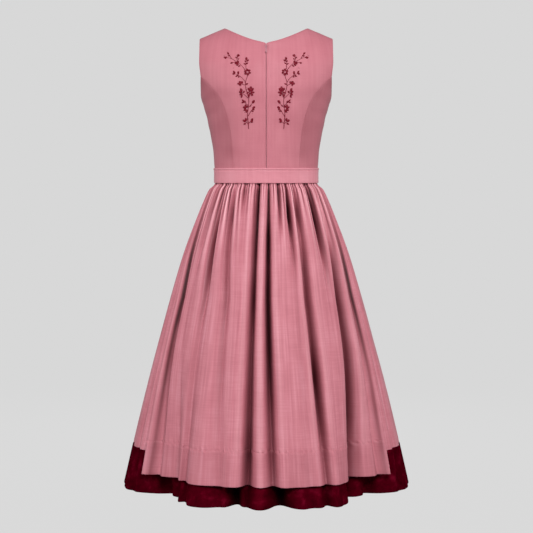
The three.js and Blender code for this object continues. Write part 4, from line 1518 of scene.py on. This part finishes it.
@dataclass
class Waistband:
    """The band round the waist: a flat band with a narrow stitched edge along its top."""

    finish: WovenSatinFinish
    top_z: float = -347.5
    waist_z: float = -366.0
    columns: int = 420
    stitched_row: int = 7

    def section(self, z: np.ndarray) -> tuple[np.ndarray, np.ndarray, np.ndarray]:
        """Half the width and the depths to the back and front inside the band at heights."""
        high = ease(z, self.waist_z, self.top_z)
        return 128.1 + 1.5 * high, 83.8 + 1.8 * high, 92.3 + 1.5 * high

    def net(self) -> ClothNet:
        """The band's net round the waist, on its outer face.

        Returns:
            The net.
        """
        drop = np.r_[0, 0.5, 1.2, 2.2, 3.4, 4.6, 5.2, 5.6, 6.0, 6.8, 8, 10, 13, 16.5, 20, 24, 28, 32]
        drop = np.r_[drop, 34.5, 36, 36.9, 37.5]
        rise = np.interp(
            drop,
            [0, 0.5, 1.2, 4.6, 5.6, 6.8, 8, 16, 28, 34.5, 36.9, 37.5],
            [1.7, 2.3, 2.6, 2.5, 1.5, 2.0, 2.35, 2.7, 2.75, 2.9, 2.6, 2.0],
        )
        turns = 2 * math.pi * np.arange(self.columns + 1) / self.columns
        turn, z = np.meshgrid(turns, self.top_z - drop)
        half, back, front = self.section(z)
        around = np.degrees(turn)
        wave = 0.22 * smooth_noise(np.cos(turn) * 7, np.sin(turn) * 7 + z / 15, 41)
        wave += 0.14 * np.sin(np.radians(around * 46)) * ease(self.top_z - z, 26, 37)
        out = rise[:, None] + wave * ease(self.top_z - z, 6, 10)
        deep = np.where(np.cos(turn) > 0, back, front) + out
        points = np.stack([(half + out) * np.sin(turn), -deep * np.cos(turn), z], axis=-1)
        points[:, -1] = points[:, 0]
        return ClothNet(points, np.stack([turn * 112, z], axis=-1), ring=True)

    def build(self) -> bpy.types.Object:
        """Builds and dresses the band.

        Returns:
            The band.
        """
        net = self.net()
        band = net.wall("waistband_cloth", 1.6, self.finish.build())
        LOG.info("waistband: %.4f square metres", net.area())
        dress_cloth(band, "waistband")
        return band


# Stitches, repeated with Geometry Nodes


@dataclass(frozen=True)
class Placing:
    """Where one repeated shape goes: its place in millimetres, the way its length and its face point, and its
    size against the shape's own."""

    place: np.ndarray
    along: np.ndarray
    face: np.ndarray
    size: tuple[float, float, float] = (1.0, 1.0, 1.0)


class StitchNodes:
    """The Geometry Nodes tree that puts a copy of a shape on every point, each turned and sized by the
    point."""

    def __init__(self) -> None:
        """Builds the tree with named inputs; the seed is fixed."""
        tree = bpy.data.node_groups.new("copies_on_points", "GeometryNodeTree")
        tree.interface.new_socket("Geometry", in_out="OUTPUT", socket_type="NodeSocketGeometry")
        self.ids: dict[str, str] = {}
        for name, kind in (
            ("Points", "NodeSocketGeometry"),
            ("Shape", "NodeSocketObject"),
            ("Finish", "NodeSocketMaterial"),
            ("Unevenness", "NodeSocketFloat"),
            ("Seed", "NodeSocketInt"),
        ):
            self.ids[name] = tree.interface.new_socket(name, in_out="INPUT", socket_type=kind).identifier
        given = add_node(tree, "NodeGroupInput").outputs
        shape = add_node(tree, "GeometryNodeObjectInfo", {"Object": given["Shape"], "As Instance": True})
        turn = add_node(tree, "GeometryNodeInputNamedAttribute", {"Name": "turn"}, data_type="FLOAT_VECTOR")
        size = add_node(tree, "GeometryNodeInputNamedAttribute", {"Name": "size"}, data_type="FLOAT_VECTOR")
        spin = add_node(tree, "FunctionNodeEulerToRotation", {0: turn.outputs[0]})
        low = math_node(tree, "SUBTRACT", 1.0, given["Unevenness"])
        high = math_node(tree, "ADD", 1.0, given["Unevenness"])
        random = add_node(tree, "FunctionNodeRandomValue", {"Seed": given["Seed"]}, data_type="FLOAT")
        floats = [i for i in random.inputs if i.type == "VALUE"]
        tree.links.new(low, floats[0])
        tree.links.new(high, floats[1])
        amount = next(o for o in random.outputs if o.type == "VALUE")
        grown = {0: size.outputs[0], "Scale": amount}
        scaled = add_node(tree, "ShaderNodeVectorMath", grown, operation="SCALE")
        copies = add_node(
            tree,
            "GeometryNodeInstanceOnPoints",
            {
                "Points": given["Points"],
                "Instance": shape.outputs["Geometry"],
                "Rotation": spin.outputs[0],
                "Scale": scaled.outputs[0],
            },
        )
        real = add_node(tree, "GeometryNodeRealizeInstances", {0: copies.outputs[0]})
        worn = {"Geometry": real.outputs[0], "Material": given["Finish"]}
        dyed = add_node(tree, "GeometryNodeSetMaterial", worn)
        add_node(tree, "NodeGroupOutput", {0: dyed.outputs[0]})
        self.tree = tree

    def spread(
        self,
        name: str,
        placings: Sequence[Placing],
        shape: bpy.types.Object,
        material: bpy.types.Material,
        unevenness: float = 0.08,
        seed: int = 1,
    ) -> bpy.types.Object:
        """Puts copies of a shape at places and makes them one plain mesh.

        Args:
            name: The piece's name.
            placings: Where the copies go.
            shape: The shape, whose length runs along its Y and whose face is its Z. It stays in the scene.
            material: The copies' finish.
            unevenness: How far sizes may differ, as a share.
            seed: The fixed seed for the sizes.

        Returns:
            The piece.
        """
        mesh = bpy.data.meshes.new(name)
        mesh.from_pydata([tuple(p.place * MILLIMETRE) for p in placings], [], [])
        turns, sizes = [], []
        for p in placings:
            up = Vector(p.face).normalized()
            along = Vector(p.along)
            along = (along - up * along.dot(up)).normalized()
            matrix = Matrix((along.cross(up), along, up)).transposed()
            turns.extend(matrix.to_euler())
            sizes.extend(p.size)
        mesh.attributes.new("turn", "FLOAT_VECTOR", "POINT").data.foreach_set("vector", turns)
        mesh.attributes.new("size", "FLOAT_VECTOR", "POINT").data.foreach_set("vector", sizes)
        holder = bpy.data.objects.new(name, mesh)
        bpy.context.scene.collection.objects.link(holder)
        modifier = holder.modifiers.new("copies", "NODES")
        modifier.node_group = self.tree
        given = {"Shape": shape, "Finish": material, "Unevenness": unevenness, "Seed": seed}
        for key, value in given.items():
            modifier[self.ids[key]] = value
        bpy.context.view_layer.update()
        plain = bpy.data.meshes.new_from_object(holder.evaluated_get(bpy.context.evaluated_depsgraph_get()))
        holder.modifiers.remove(modifier)
        holder.data = plain
        if len(plain.materials) == 0:
            plain.materials.append(material)
        return holder


def dome(
    name: str, outline: Sequence[tuple[float, float]], height: float, material: bpy.types.Material
) -> bpy.types.Object:
    """A low padded shape: a closed outline in millimetres, drawn up to a crest along its middle.

    Args:
        name: The shape's name.
        outline: Half the outline, as distance along Y and half width, from one end to the other.
        height: The crest's height.
        material: Its finish.

    Returns:
        The shape's object.
    """
    rings = 5
    widest = max(half for _, half in outline)
    verts: list[tuple[float, float, float]] = []
    for y, half in outline:
        for k in range(rings):
            turn = math.pi * k / (rings - 1)
            lift = height * math.sin(turn) * min(1.0, half / widest + 0.15)
            verts.append((half * math.cos(turn), y, lift))
    faces = []
    for row in range(len(outline) - 1):
        for k in range(rings - 1):
            a = row * rings + k
            faces.append((a, a + rings, a + rings + 1, a + 1))
        a, b = row * rings, row * rings + rings - 1
        faces.append((a, b, b + rings, a + rings))
    last = (len(outline) - 1) * rings
    mesh = bpy.data.meshes.new(name)
    ends = [tuple(range(rings)), tuple(last + k for k in reversed(range(rings)))]
    mesh.from_pydata([tuple(c * MILLIMETRE for c in v) for v in verts], [], [*faces, *ends])
    mesh.polygons.foreach_set("use_smooth", [True] * len(mesh.polygons))
    mesh.materials.append(material)
    shape = bpy.data.objects.new(name, mesh)
    bpy.context.scene.collection.objects.link(shape)
    return shape


def joined(name: str, pieces: Sequence[bpy.types.Object]) -> bpy.types.Object:
    """Joins pieces into the first of them and names it.

    Args:
        name: Its name.
        pieces: The pieces, all meshes.

    Returns:
        The joined piece.
    """
    with bpy.context.temp_override(active_object=pieces[0], selected_editable_objects=list(pieces)):
        bpy.ops.object.join()
    pieces[0].name = name
    return pieces[0]


# Embroidery


@dataclass(frozen=True)
class Leaf:
    """A leaf or petal in satin stitch: its foot, the way it points in degrees from up towards the garment's
    side, and its length, in millimetres."""

    x: float
    z: float
    turn: float
    length: float
    round: bool = False


@dataclass(frozen=True)
class Blossom:
    """An open flower seen face on: petals round an eye."""

    x: float
    z: float
    radius: float
    petals: int
    turn: float = 0.0


@dataclass(frozen=True)
class Stem:
    """A stem in stem stitch, through places on the bodice, and its thickness."""

    path: tuple[tuple[float, float], ...]
    thick: float = 1.0


@dataclass
class VineDesign:
    """The vine beside the zip, drawn on the right; the left one is its mirror image."""

    stems: tuple[Stem, ...] = (
        Stem(((43, -252), (44, -238), (45.5, -222), (45, -208), (43, -194), (42.5, -180), (46, -168)), 1.4),
        Stem(((46, -168), (49, -156), (51, -146), (50, -136), (47, -128), (45.5, -121)), 1.25),
        Stem(((49.5, -112), (55, -104), (61, -97), (69, -91), (79, -84), (88, -79), (98, -77.5))),
        Stem(((48, -111), (49.5, -102), (49, -92), (48.5, -84))),
        Stem(((70.5, -90.5), (71.5, -83), (70, -76))),
        Stem(((84.5, -81.5), (87.5, -75), (91, -70))),
        Stem(((72, -89), (77, -89.5), (82, -90.5))),
        Stem(((50.5, -139), (56, -131), (63, -125), (69, -120.5), (77, -118))),
        Stem(((50.5, -147), (56, -144.5), (61, -143))),
        Stem(((44.5, -178), (50, -172), (56, -167), (59, -163))),
        Stem(((46, -168), (43, -164), (39, -161))),
        Stem(((43, -196), (49, -191), (55, -187))),
        Stem(((43, -200), (38, -195), (34, -190))),
        Stem(((45, -222), (40, -214), (36, -207), (33, -203))),
        Stem(((44.5, -240), (40, -236), (37, -233))),
        Stem(((44, -240), (49, -236), (52, -231))),
    )
    leaves: tuple[Leaf, ...] = (
        Leaf(97, -77.5, 78, 6.5),
        Leaf(96, -77, 118, 5.5),
        Leaf(96, -78.5, 40, 4.5),
        Leaf(91, -70, 38, 7),
        Leaf(89, -74, 70, 5),
        Leaf(70, -77, -8, 7, True),
        Leaf(69, -75, -48, 5.5, True),
        Leaf(71.5, -80, 42, 5.5),
        Leaf(70, -83, -55, 4.5),
        Leaf(81, -90.5, 98, 6),
        Leaf(68, -93, 12, 7),
        Leaf(68.5, -93, 78, 7.5, True),
        Leaf(67, -95, 110, 6, True),
        Leaf(62.5, -97.5, 118, 6),
        Leaf(48.5, -85, 2, 7, True),
        Leaf(47.5, -88, -48, 6, True),
        Leaf(49, -90, 38, 5),
        Leaf(49, -95, -52, 6),
        Leaf(49.5, -96, 55, 6),
        Leaf(76, -118, 30, 8),
        Leaf(77, -118, 92, 5.5, True),
        Leaf(68, -120, 2, 7, True),
        Leaf(68.5, -121.5, 120, 7),
        Leaf(66, -122.5, 168, 5),
        Leaf(61, -143, 38, 7, True),
        Leaf(62, -144, 74, 7.5, True),
        Leaf(60.5, -144.5, 122, 6),
        Leaf(59, -143, -4, 6, True),
        Leaf(50, -145, -62, 6),
        Leaf(38.5, -160, -8, 10, True),
        Leaf(37.5, -161, -42, 9, True),
        Leaf(37, -164, -88, 8, True),
        Leaf(38.5, -166, -134, 8, True),
        Leaf(41.5, -167, 168, 8, True),
        Leaf(42.5, -163, 118, 6, True),
        Leaf(41, -160, 24, 7, True),
        Leaf(58.5, -162, 28, 8, True),
        Leaf(59.5, -164, 68, 7, True),
        Leaf(58, -166.5, 112, 7, True),
        Leaf(56, -165, -30, 5.5, True),
        Leaf(58.5, -169, 158, 7),
        Leaf(54, -187, 40, 7),
        Leaf(51, -190, 8, 6),
        Leaf(54.5, -188, 96, 5.5),
        Leaf(34, -190.5, -34, 8, True),
        Leaf(41, -197.5, -60, 5),
        Leaf(48, -201, 24, 8, True),
        Leaf(48.5, -202.5, 66, 8, True),
        Leaf(48, -204.5, 112, 7, True),
        Leaf(46.5, -205, 160, 7, True),
        Leaf(46, -201, -14, 5.5),
        Leaf(33.5, -203.5, -46, 7, True),
        Leaf(34.5, -205, -92, 5.5, True),
        Leaf(36.5, -208, -112, 5),
        Leaf(48, -233, 18, 7, True),
        Leaf(50, -235, 58, 7.5, True),
        Leaf(51, -232.5, 96, 5.5),
        Leaf(49.5, -238, 118, 6),
        Leaf(37.5, -233.5, -38, 8, True),
        Leaf(38.5, -235.5, -82, 5.5, True),
    )
    blossoms: tuple[Blossom, ...] = (
        Blossom(45.5, -114.5, 8.6, 6, 8.0),
        Blossom(39.5, -163.5, 5.2, 5, 20.0),
    )
    knots: tuple[tuple[float, float, float], ...] = (
        (80, -104, 1.8),
        (52, -212, 1.5),
        (44, -207, 1.4),
        (45.5, -114.5, 1.9),
        (39.5, -163.5, 1.5),
        (103, -72, 1.4),
        (41.5, -176, 1.3),
        (33.5, -214, 1.3),
    )


@dataclass
class Embroidery:
    """Both vines, padded satin stitch on the back panels."""

    trunk: Trunk
    nodes: StitchNodes
    leaf_finish: ThreadFinish = ThreadFinish("burgundy_rayon_thread", "#540010", "#780623")
    stem_finish: ThreadFinish = ThreadFinish("dark_burgundy_rayon_thread", "#540213", "#740f28", 0.4)
    design: VineDesign = field(default_factory=VineDesign)
    relief: float = 0.35

    def placing(
        self, x: float, z: float, turn: float, size: tuple[float, float, float], sign: float
    ) -> Placing:
        """The place of one shape on the back, by its foot and the way it points.

        Args:
            x: Width of the shape's foot, on the right side.
            z: Height of its foot.
            turn: The way it points, in degrees from up towards the side.
            size: Its size against the plain shape.
            sign: 1 on the right, and -1 on the left.

        Returns:
            The place.
        """
        mirror = np.array([sign, 1.0, 1.0])
        place = self.trunk.point(Side.BACK, np.array([x]), np.array([z]), self.relief)[0] * mirror
        face = self.trunk.normal(Side.BACK, np.array([x]), np.array([z]))[0] * mirror
        angle = math.radians(turn)
        return Placing(place, np.array([sign * math.sin(angle), 0.0, math.cos(angle)]), face, size)

    def stem_mesh(self, name: str, sign: float, material: bpy.types.Material) -> bpy.types.Object:
        """All stems of one vine as low half-round ropes on the cloth.

        Args:
            name: Its name.
            sign: 1 on the right, and -1 on the left.
            material: The finish.

        Returns:
            The stems, as one mesh.
        """
        verts, faces = [], []
        for stem in self.design.stems:
            path = np.array(stem.path, dtype=float)
            steps = np.linspace(0, len(path) - 1, 7 * len(path))
            x = np.interp(steps, np.arange(len(path)), path[:, 0])
            z = np.interp(steps, np.arange(len(path)), path[:, 1])
            kernel = np.ones(5) / 5
            x[2:-2], z[2:-2] = np.convolve(x, kernel, "valid"), np.convolve(z, kernel, "valid")
            mirror = np.array([sign, 1.0, 1.0])
            centre = self.trunk.point(Side.BACK, x, z, 0.25) * mirror
            face = self.trunk.normal(Side.BACK, x, z) * mirror
            along = np.gradient(centre, axis=0)
            across = np.cross(along, face)
            across /= np.linalg.norm(across, axis=1, keepdims=True)
            first, sides = len(verts), 6
            for row in range(len(steps)):
                taper = 1.0 - 0.35 * row / len(steps)
                for k in range(sides):
                    turn = 2 * math.pi * k / sides
                    offset = across[row] * math.cos(turn) * 0.75 * stem.thick * taper
                    offset = offset + face[row] * math.sin(turn) * 0.5 * stem.thick * taper
                    verts.append(centre[row] + offset)
            for row in range(len(steps) - 1):
                for k in range(sides):
                    a, b = first + row * sides + k, first + row * sides + (k + 1) % sides
                    faces.append([a, b, b + sides, a + sides])
        return mesh_object(name, np.array(verts) * MILLIMETRE, np.array(faces), material)

    def build(self) -> list[bpy.types.Object]:
        """Builds both vines.

        Returns:
            The right and the left vine.
        """
        satin, cord = self.leaf_finish.build(), self.stem_finish.build()
        almond = [(0, 0.15), (0.12, 0.55), (0.3, 1.0), (0.5, 1.12), (0.7, 0.95), (0.88, 0.5), (1.0, 0.08)]
        oval = [(0, 0.3), (0.1, 0.8), (0.28, 1.2), (0.52, 1.4), (0.76, 1.25), (0.92, 0.75), (1.0, 0.25)]
        dot = [(-0.5, 0.1), (-0.35, 0.36), (0, 0.5), (0.35, 0.36), (0.5, 0.1)]
        leaf = dome("leaf_shape", [(5 * y, w) for y, w in almond], 0.7, satin)
        petal = dome("petal_shape", [(5 * y, w) for y, w in oval], 0.8, satin)
        knot = dome("knot_shape", [(y, w) for y, w in dot], 0.5, satin)
        vines = []
        for label, sign in (("right", 1.0), ("left", -1.0)):
            leaves, petals, knots = [], [], []
            for item in self.design.leaves:
                length = item.length / 5
                size = (0.85 + 0.8 * length, 1.15 * length, 1.1)
                target = petals if item.round else leaves
                target.append(self.placing(item.x, item.z, item.turn, size, sign))
            for flower in self.design.blossoms:
                for k in range(flower.petals):
                    turn = flower.turn + 360 * k / flower.petals
                    angle = math.radians(turn)
                    x = flower.x + math.sin(angle) * flower.radius * 0.26
                    z = flower.z + math.cos(angle) * flower.radius * 0.26
                    grow = flower.radius * 0.78 / 5
                    petals.append(self.placing(x, z, turn, (grow * 1.55, grow, 1.1), sign))
            for x, z, wide in self.design.knots:
                knots.append(self.placing(x, z, 0.0, (wide, wide, 1.3), sign))
            parts = [
                self.stem_mesh(f"vine_stems_{label}", sign, cord),
                self.nodes.spread(f"vine_leaves_{label}", leaves, leaf, satin, 0.1, 3),
                self.nodes.spread(f"vine_petals_{label}", petals, petal, satin, 0.08, 4),
                self.nodes.spread(f"vine_knots_{label}", knots, knot, cord, 0.05, 5),
            ]
            vine = joined(f"embroidered_vine_{label}", parts)
            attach(vine, GARMENT)
            LOG.info("%s: %d faces", vine.name, len(vine.data.polygons))
            vines.append(vine)
        for shape in (leaf, petal, knot):
            bpy.data.objects.remove(shape)
        return vines


@dataclass
class SewnLines:
    """The rows of stitches that show: along the overskirt's deep hem and along the waistband's top."""

    form: SkirtForm
    nodes: StitchNodes
    finish: ThreadFinish = ThreadFinish("rose_polyester_thread", "#a85562", "#c97f8a", 0.4, 0.5)
    stitch: float = 2.6
    pitch: float = 3.6
    hem_depth: float = 79.0

    def along_line(self, points: np.ndarray, faces: np.ndarray) -> list[Placing]:
        """Stitches at an even pitch along a line of points.

        Args:
            points: The line.
            faces: The cloth's normal at each point.

        Returns:
            The stitches' places.
        """
        run = np.r_[0, np.cumsum(np.linalg.norm(np.diff(points, axis=0), axis=1))]
        at = np.arange(self.pitch, run[-1] - self.pitch, self.pitch)
        spot = [
            np.stack([np.interp(at + shift, run, points[:, k]) for k in range(3)], axis=1)
            for shift in (-1.0, 0.0, 1.0)
        ]
        face = np.stack([np.interp(at, run, faces[:, k]) for k in range(3)], axis=1)
        return [Placing(m, b - a, f, (1.0, self.stitch / 2.6, 1.0)) for a, m, b, f in zip(*spot, face)]

    def hem(self, side: Side) -> list[Placing]:
        """Stitches along one overskirt panel's hem seam, in its groove.

        Args:
            side: The back or the front.

        Returns:
            The stitches' places.
        """
        f = self.form
        middle = 0.0 if side is Side.BACK else 180.0
        lanes = np.linspace(middle - f.edge_mid + 0.7, middle + f.edge_mid - 0.7, 1500)
        seam = f.overskirt_hem_z + self.hem_depth
        rows = [f.points(Layer.OVERSKIRT, lanes, np.full_like(lanes, seam + d)) for d in (0.5, 0.0, -0.5)]
        normals = grid_normals(np.stack(rows))[1]
        return self.along_line(rows[1] - normals * 0.35, normals)

    def build(self, band: Waistband) -> list[bpy.types.Object]:
        """Builds the stitches of both hems and of the band.

        Args:
            band: The waistband.

        Returns:
            The rows of stitches.
        """
        thread = self.finish.build()
        outline = [(-1.3, 0.1), (-1.1, 0.24), (-0.6, 0.3), (0.6, 0.3), (1.1, 0.24), (1.3, 0.1)]
        shape = dome("stitch_shape", outline, 0.34, thread)
        lines = []
        for side in Side:
            name = f"hem_stitches_{side.name.lower()}"
            lines.append(self.nodes.spread(name, self.hem(side), shape, thread, 0.06, 7))
        net, row = band.net(), band.stitched_row
        top = self.along_line(net.points[row], grid_normals(net.points, True)[row])
        lines.append(self.nodes.spread("waistband_stitches", top, shape, thread, 0.06, 8))
        for line in lines:
            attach(line, GARMENT)
            LOG.info("%s: %d faces", line.name, len(line.data.polygons))
        bpy.data.objects.remove(shape)
        return lines


@dataclass
class ZipFastener:
    """The concealed zip: a woven tape under the slit, the coil along its middle, and the slider and tab of
    the solids in lacquered metal."""

    trunk: Trunk
    nodes: StitchNodes
    depth: float = 2.9
    half_width: float = 7.5
    top_z: float = -43.0
    bottom_z: float = -365.0

    def tape_finish(self) -> bpy.types.Material:
        """Woven polyester tape: fine ribs across, 0.5 mm apart.

        Returns:
            The new material.
        """
        material, tree = new_material("woven_polyester_zip_tape")
        coordinates = add_node(tree, "ShaderNodeTexCoord").outputs["Object"]
        across = {"Vector": coordinates, "Scale": 600.0}
        ribs = add_node(tree, "ShaderNodeTexWave", across, bands_direction="Z")
        colour = ramp(tree, ribs.outputs["Fac"], [(0.0, "#8f5a63"), (1.0, "#a56d77")])
        relief = relief_from(tree, ribs.outputs["Fac"], 0.3, 0.0002)
        dress_surface(tree, {"Base Color": colour, "Roughness": 0.7, "Normal": relief})
        return material

    def build(self) -> list[bpy.types.Object]:
        """Builds the tape and the coil, and gives the slider and tab their metal.

        Returns:
            The tape and the coil.
        """
        half = np.array([0.7, 1.4, 2.6, 5, self.half_width - 0.3, self.half_width])
        across = np.r_[-half[::-1], 0, half]
        heights = np.linspace(self.top_z, self.bottom_z, 110)
        x, z = np.meshgrid(across, heights)
        rise = 0.35 * bump_at(x, 0.0, 1.6) - 0.1 * bump_at(np.abs(x), self.half_width, 0.4)
        points = np.stack([x, -self.trunk.stand(Side.BACK, x, z), z], axis=-1)
        normals = self.trunk.normal(Side.BACK, x, z)
        net = ClothNet(points - normals * (self.depth - rise)[..., None], np.stack([x, z], axis=-1))
        tape = net.wall("zip_tape_cloth", 0.6, self.tape_finish())
        dress_cloth(tape, "zip_tape")
        coil_finish = ThreadFinish("nylon_zip_coil", "#8d5560", "#a9727c", 0.6, 0.3).build()
        wire = [(-1.1, 0.2), (-0.8, 0.36), (0, 0.42), (0.8, 0.36), (1.1, 0.2)]
        shape = dome("coil_shape", wire, 0.6, coil_finish)
        spots = np.arange(self.top_z - 16, self.bottom_z + 2, -1.25)
        zero = np.zeros_like(spots)
        base = np.stack([zero, -self.trunk.stand(Side.BACK, zero, spots), spots], axis=-1)
        face = self.trunk.normal(Side.BACK, zero, spots)
        placings = [Placing(b - f * 2.5, np.array([1.0, 0.0, 0.12]), f) for b, f in zip(base, face)]
        coil = self.nodes.spread("zip_coil", placings, shape, coil_finish, 0.02, 9)
        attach(coil, GARMENT)
        bpy.data.objects.remove(shape)
        metal = LacqueredZincFinish().build()
        for name in ("zip_slider", "zip_pull_tab"):
            for slot in bpy.data.objects[name].material_slots:
                slot.material = metal
        return [tape, coil]


# The studio


@dataclass
class Studio:
    """Camera, soft lights and a pale sweep of paper behind and under the garment."""

    distance: float = 4.0
    eye_z: float = -0.357
    pitch_degrees: float = 3.4
    focal_pixels: float = 1594.0
    image_pixels: float = 533.0
    sensor_width: float = 36.0
    aim: tuple[float, float, float] = (0.0, 0.0, -0.55)
    sweep_turns: int = 48

    def camera(self) -> None:
        """Sets the camera at the photograph's angle."""
        data = bpy.data.cameras.new("camera")
        data.sensor_width = self.sensor_width
        data.lens = self.focal_pixels / self.image_pixels * self.sensor_width
        data.clip_end = 60.0
        camera = bpy.data.objects.new("camera", data)
        camera.location = (0.00075, -self.distance, self.eye_z)
        camera.rotation_euler = (math.radians(90 - self.pitch_degrees), 0, 0)
        bpy.context.scene.collection.objects.link(camera)
        bpy.context.scene.camera = camera

    def area_light(self, name: str, place: Sequence[float], size: float, power: float) -> None:
        """Adds a square soft light that looks at the garment.

        Args:
            name: Its name.
            place: Where it stands, in metres.
            size: Its side in metres.
            power: Its power in watts.
        """
        data = bpy.data.lights.new(name, "AREA")
        data.shape, data.size, data.energy = "SQUARE", size, power
        light = bpy.data.objects.new(name, data)
        light.location = place
        light.rotation_euler = (Vector(self.aim) - Vector(place)).to_track_quat("-Z", "Y").to_euler()
        bpy.context.scene.collection.objects.link(light)

    def sweep(self) -> bpy.types.Object:
        """A floor that curves up all round into a wall, so that no horizon shows.

        Returns:
            The sweep.
        """
        radii = np.array([0, 2, 4, 6, 7, 7.8, 8.4, 8.8, 9.0, 9.0])
        heights = np.array([0, 0, 0, 0.02, 0.15, 0.5, 1.1, 2.0, 3.2, 9.0]) - 1.45
        turns = 2 * math.pi * np.arange(self.sweep_turns) / self.sweep_turns
        x, y = radii[:, None] * np.cos(turns), radii[:, None] * np.sin(turns)
        verts = np.stack([x, y, np.broadcast_to(heights[:, None], x.shape)], axis=-1).reshape(-1, 3)
        n = self.sweep_turns
        faces = [
            (r * n + c, (r + 1) * n + c, (r + 1) * n + (c + 1) % n, r * n + (c + 1) % n)
            for r in range(1, len(radii) - 1)
            for c in range(n)
        ]
        disc = [tuple(n + c for c in range(n))]
        mesh = bpy.data.meshes.new("paper_sweep")
        mesh.from_pydata(verts.tolist(), [], faces + disc)
        mesh.polygons.foreach_set("use_smooth", [True] * len(mesh.polygons))
        mesh.materials.append(StudioSweepFinish().build())
        sweep = bpy.data.objects.new("paper_sweep", mesh)
        sweep.visible_diffuse = False
        sweep.visible_shadow = False
        bpy.context.scene.collection.objects.link(sweep)
        return sweep

    def build(self) -> None:
        """Sets up the whole studio."""
        self.camera()
        world = bpy.data.worlds.new("studio_air")
        world.use_nodes = True
        air = world.node_tree.nodes["Background"].inputs
        air["Color"].default_value, air["Strength"].default_value = linear("#ece8e6"), 0.16
        bpy.context.scene.world = world
        bpy.context.scene.view_settings.view_transform = "Standard"
        self.area_light("key_softbox", (0.55, -3.55, 1.6), 1.4, 158.0)
        self.area_light("left_fill_softbox", (-2.9, -1.5, 0.2), 2.0, 68.0)
        self.area_light("right_fill_softbox", (2.9, -1.5, 0.2), 2.0, 54.0)
        self.area_light("rear_softbox", (0.0, 3.5, 0.5), 0.5, 125.0)
        self.sweep()


def main() -> None:
    """Builds the studio and the garment, piece by piece."""
    logging.basicConfig(level=logging.INFO, format="%(name)s: %(message)s")
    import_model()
    Studio().build()
    cotton = "rose_satin_faced_cotton"
    bodice_satin = WovenSatinFinish(f"{cotton}_bodice", "#af6974", "#b9757f", "#a55f6a", streak=0.6)
    skirt_satin = WovenSatinFinish(f"{cotton}_skirt", "#b16a75", "#c38490", "#9c5661", streak=1.0)
    over_satin = WovenSatinFinish(f"{cotton}_overskirt", "#b06974", "#bf7d89", "#9d5863", streak=1.1)
    band_satin = WovenSatinFinish(f"{cotton}_band", "#c07b86", "#ca8892", "#b5717c", 0.4, streak=0.6)
    trunk = Trunk()
    Bodice(trunk, bodice_satin).build()
    band = Waistband(band_satin)
    band.build()
    form = SkirtForm()
    Skirts(form, skirt_satin, over_satin, VelvetFinish()).build()
    nodes = StitchNodes()
    Embroidery(trunk, nodes).build()
    SewnLines(form, nodes).build(band)
    ZipFastener(trunk, nodes).build()


if __name__ == "__main__":
    main()
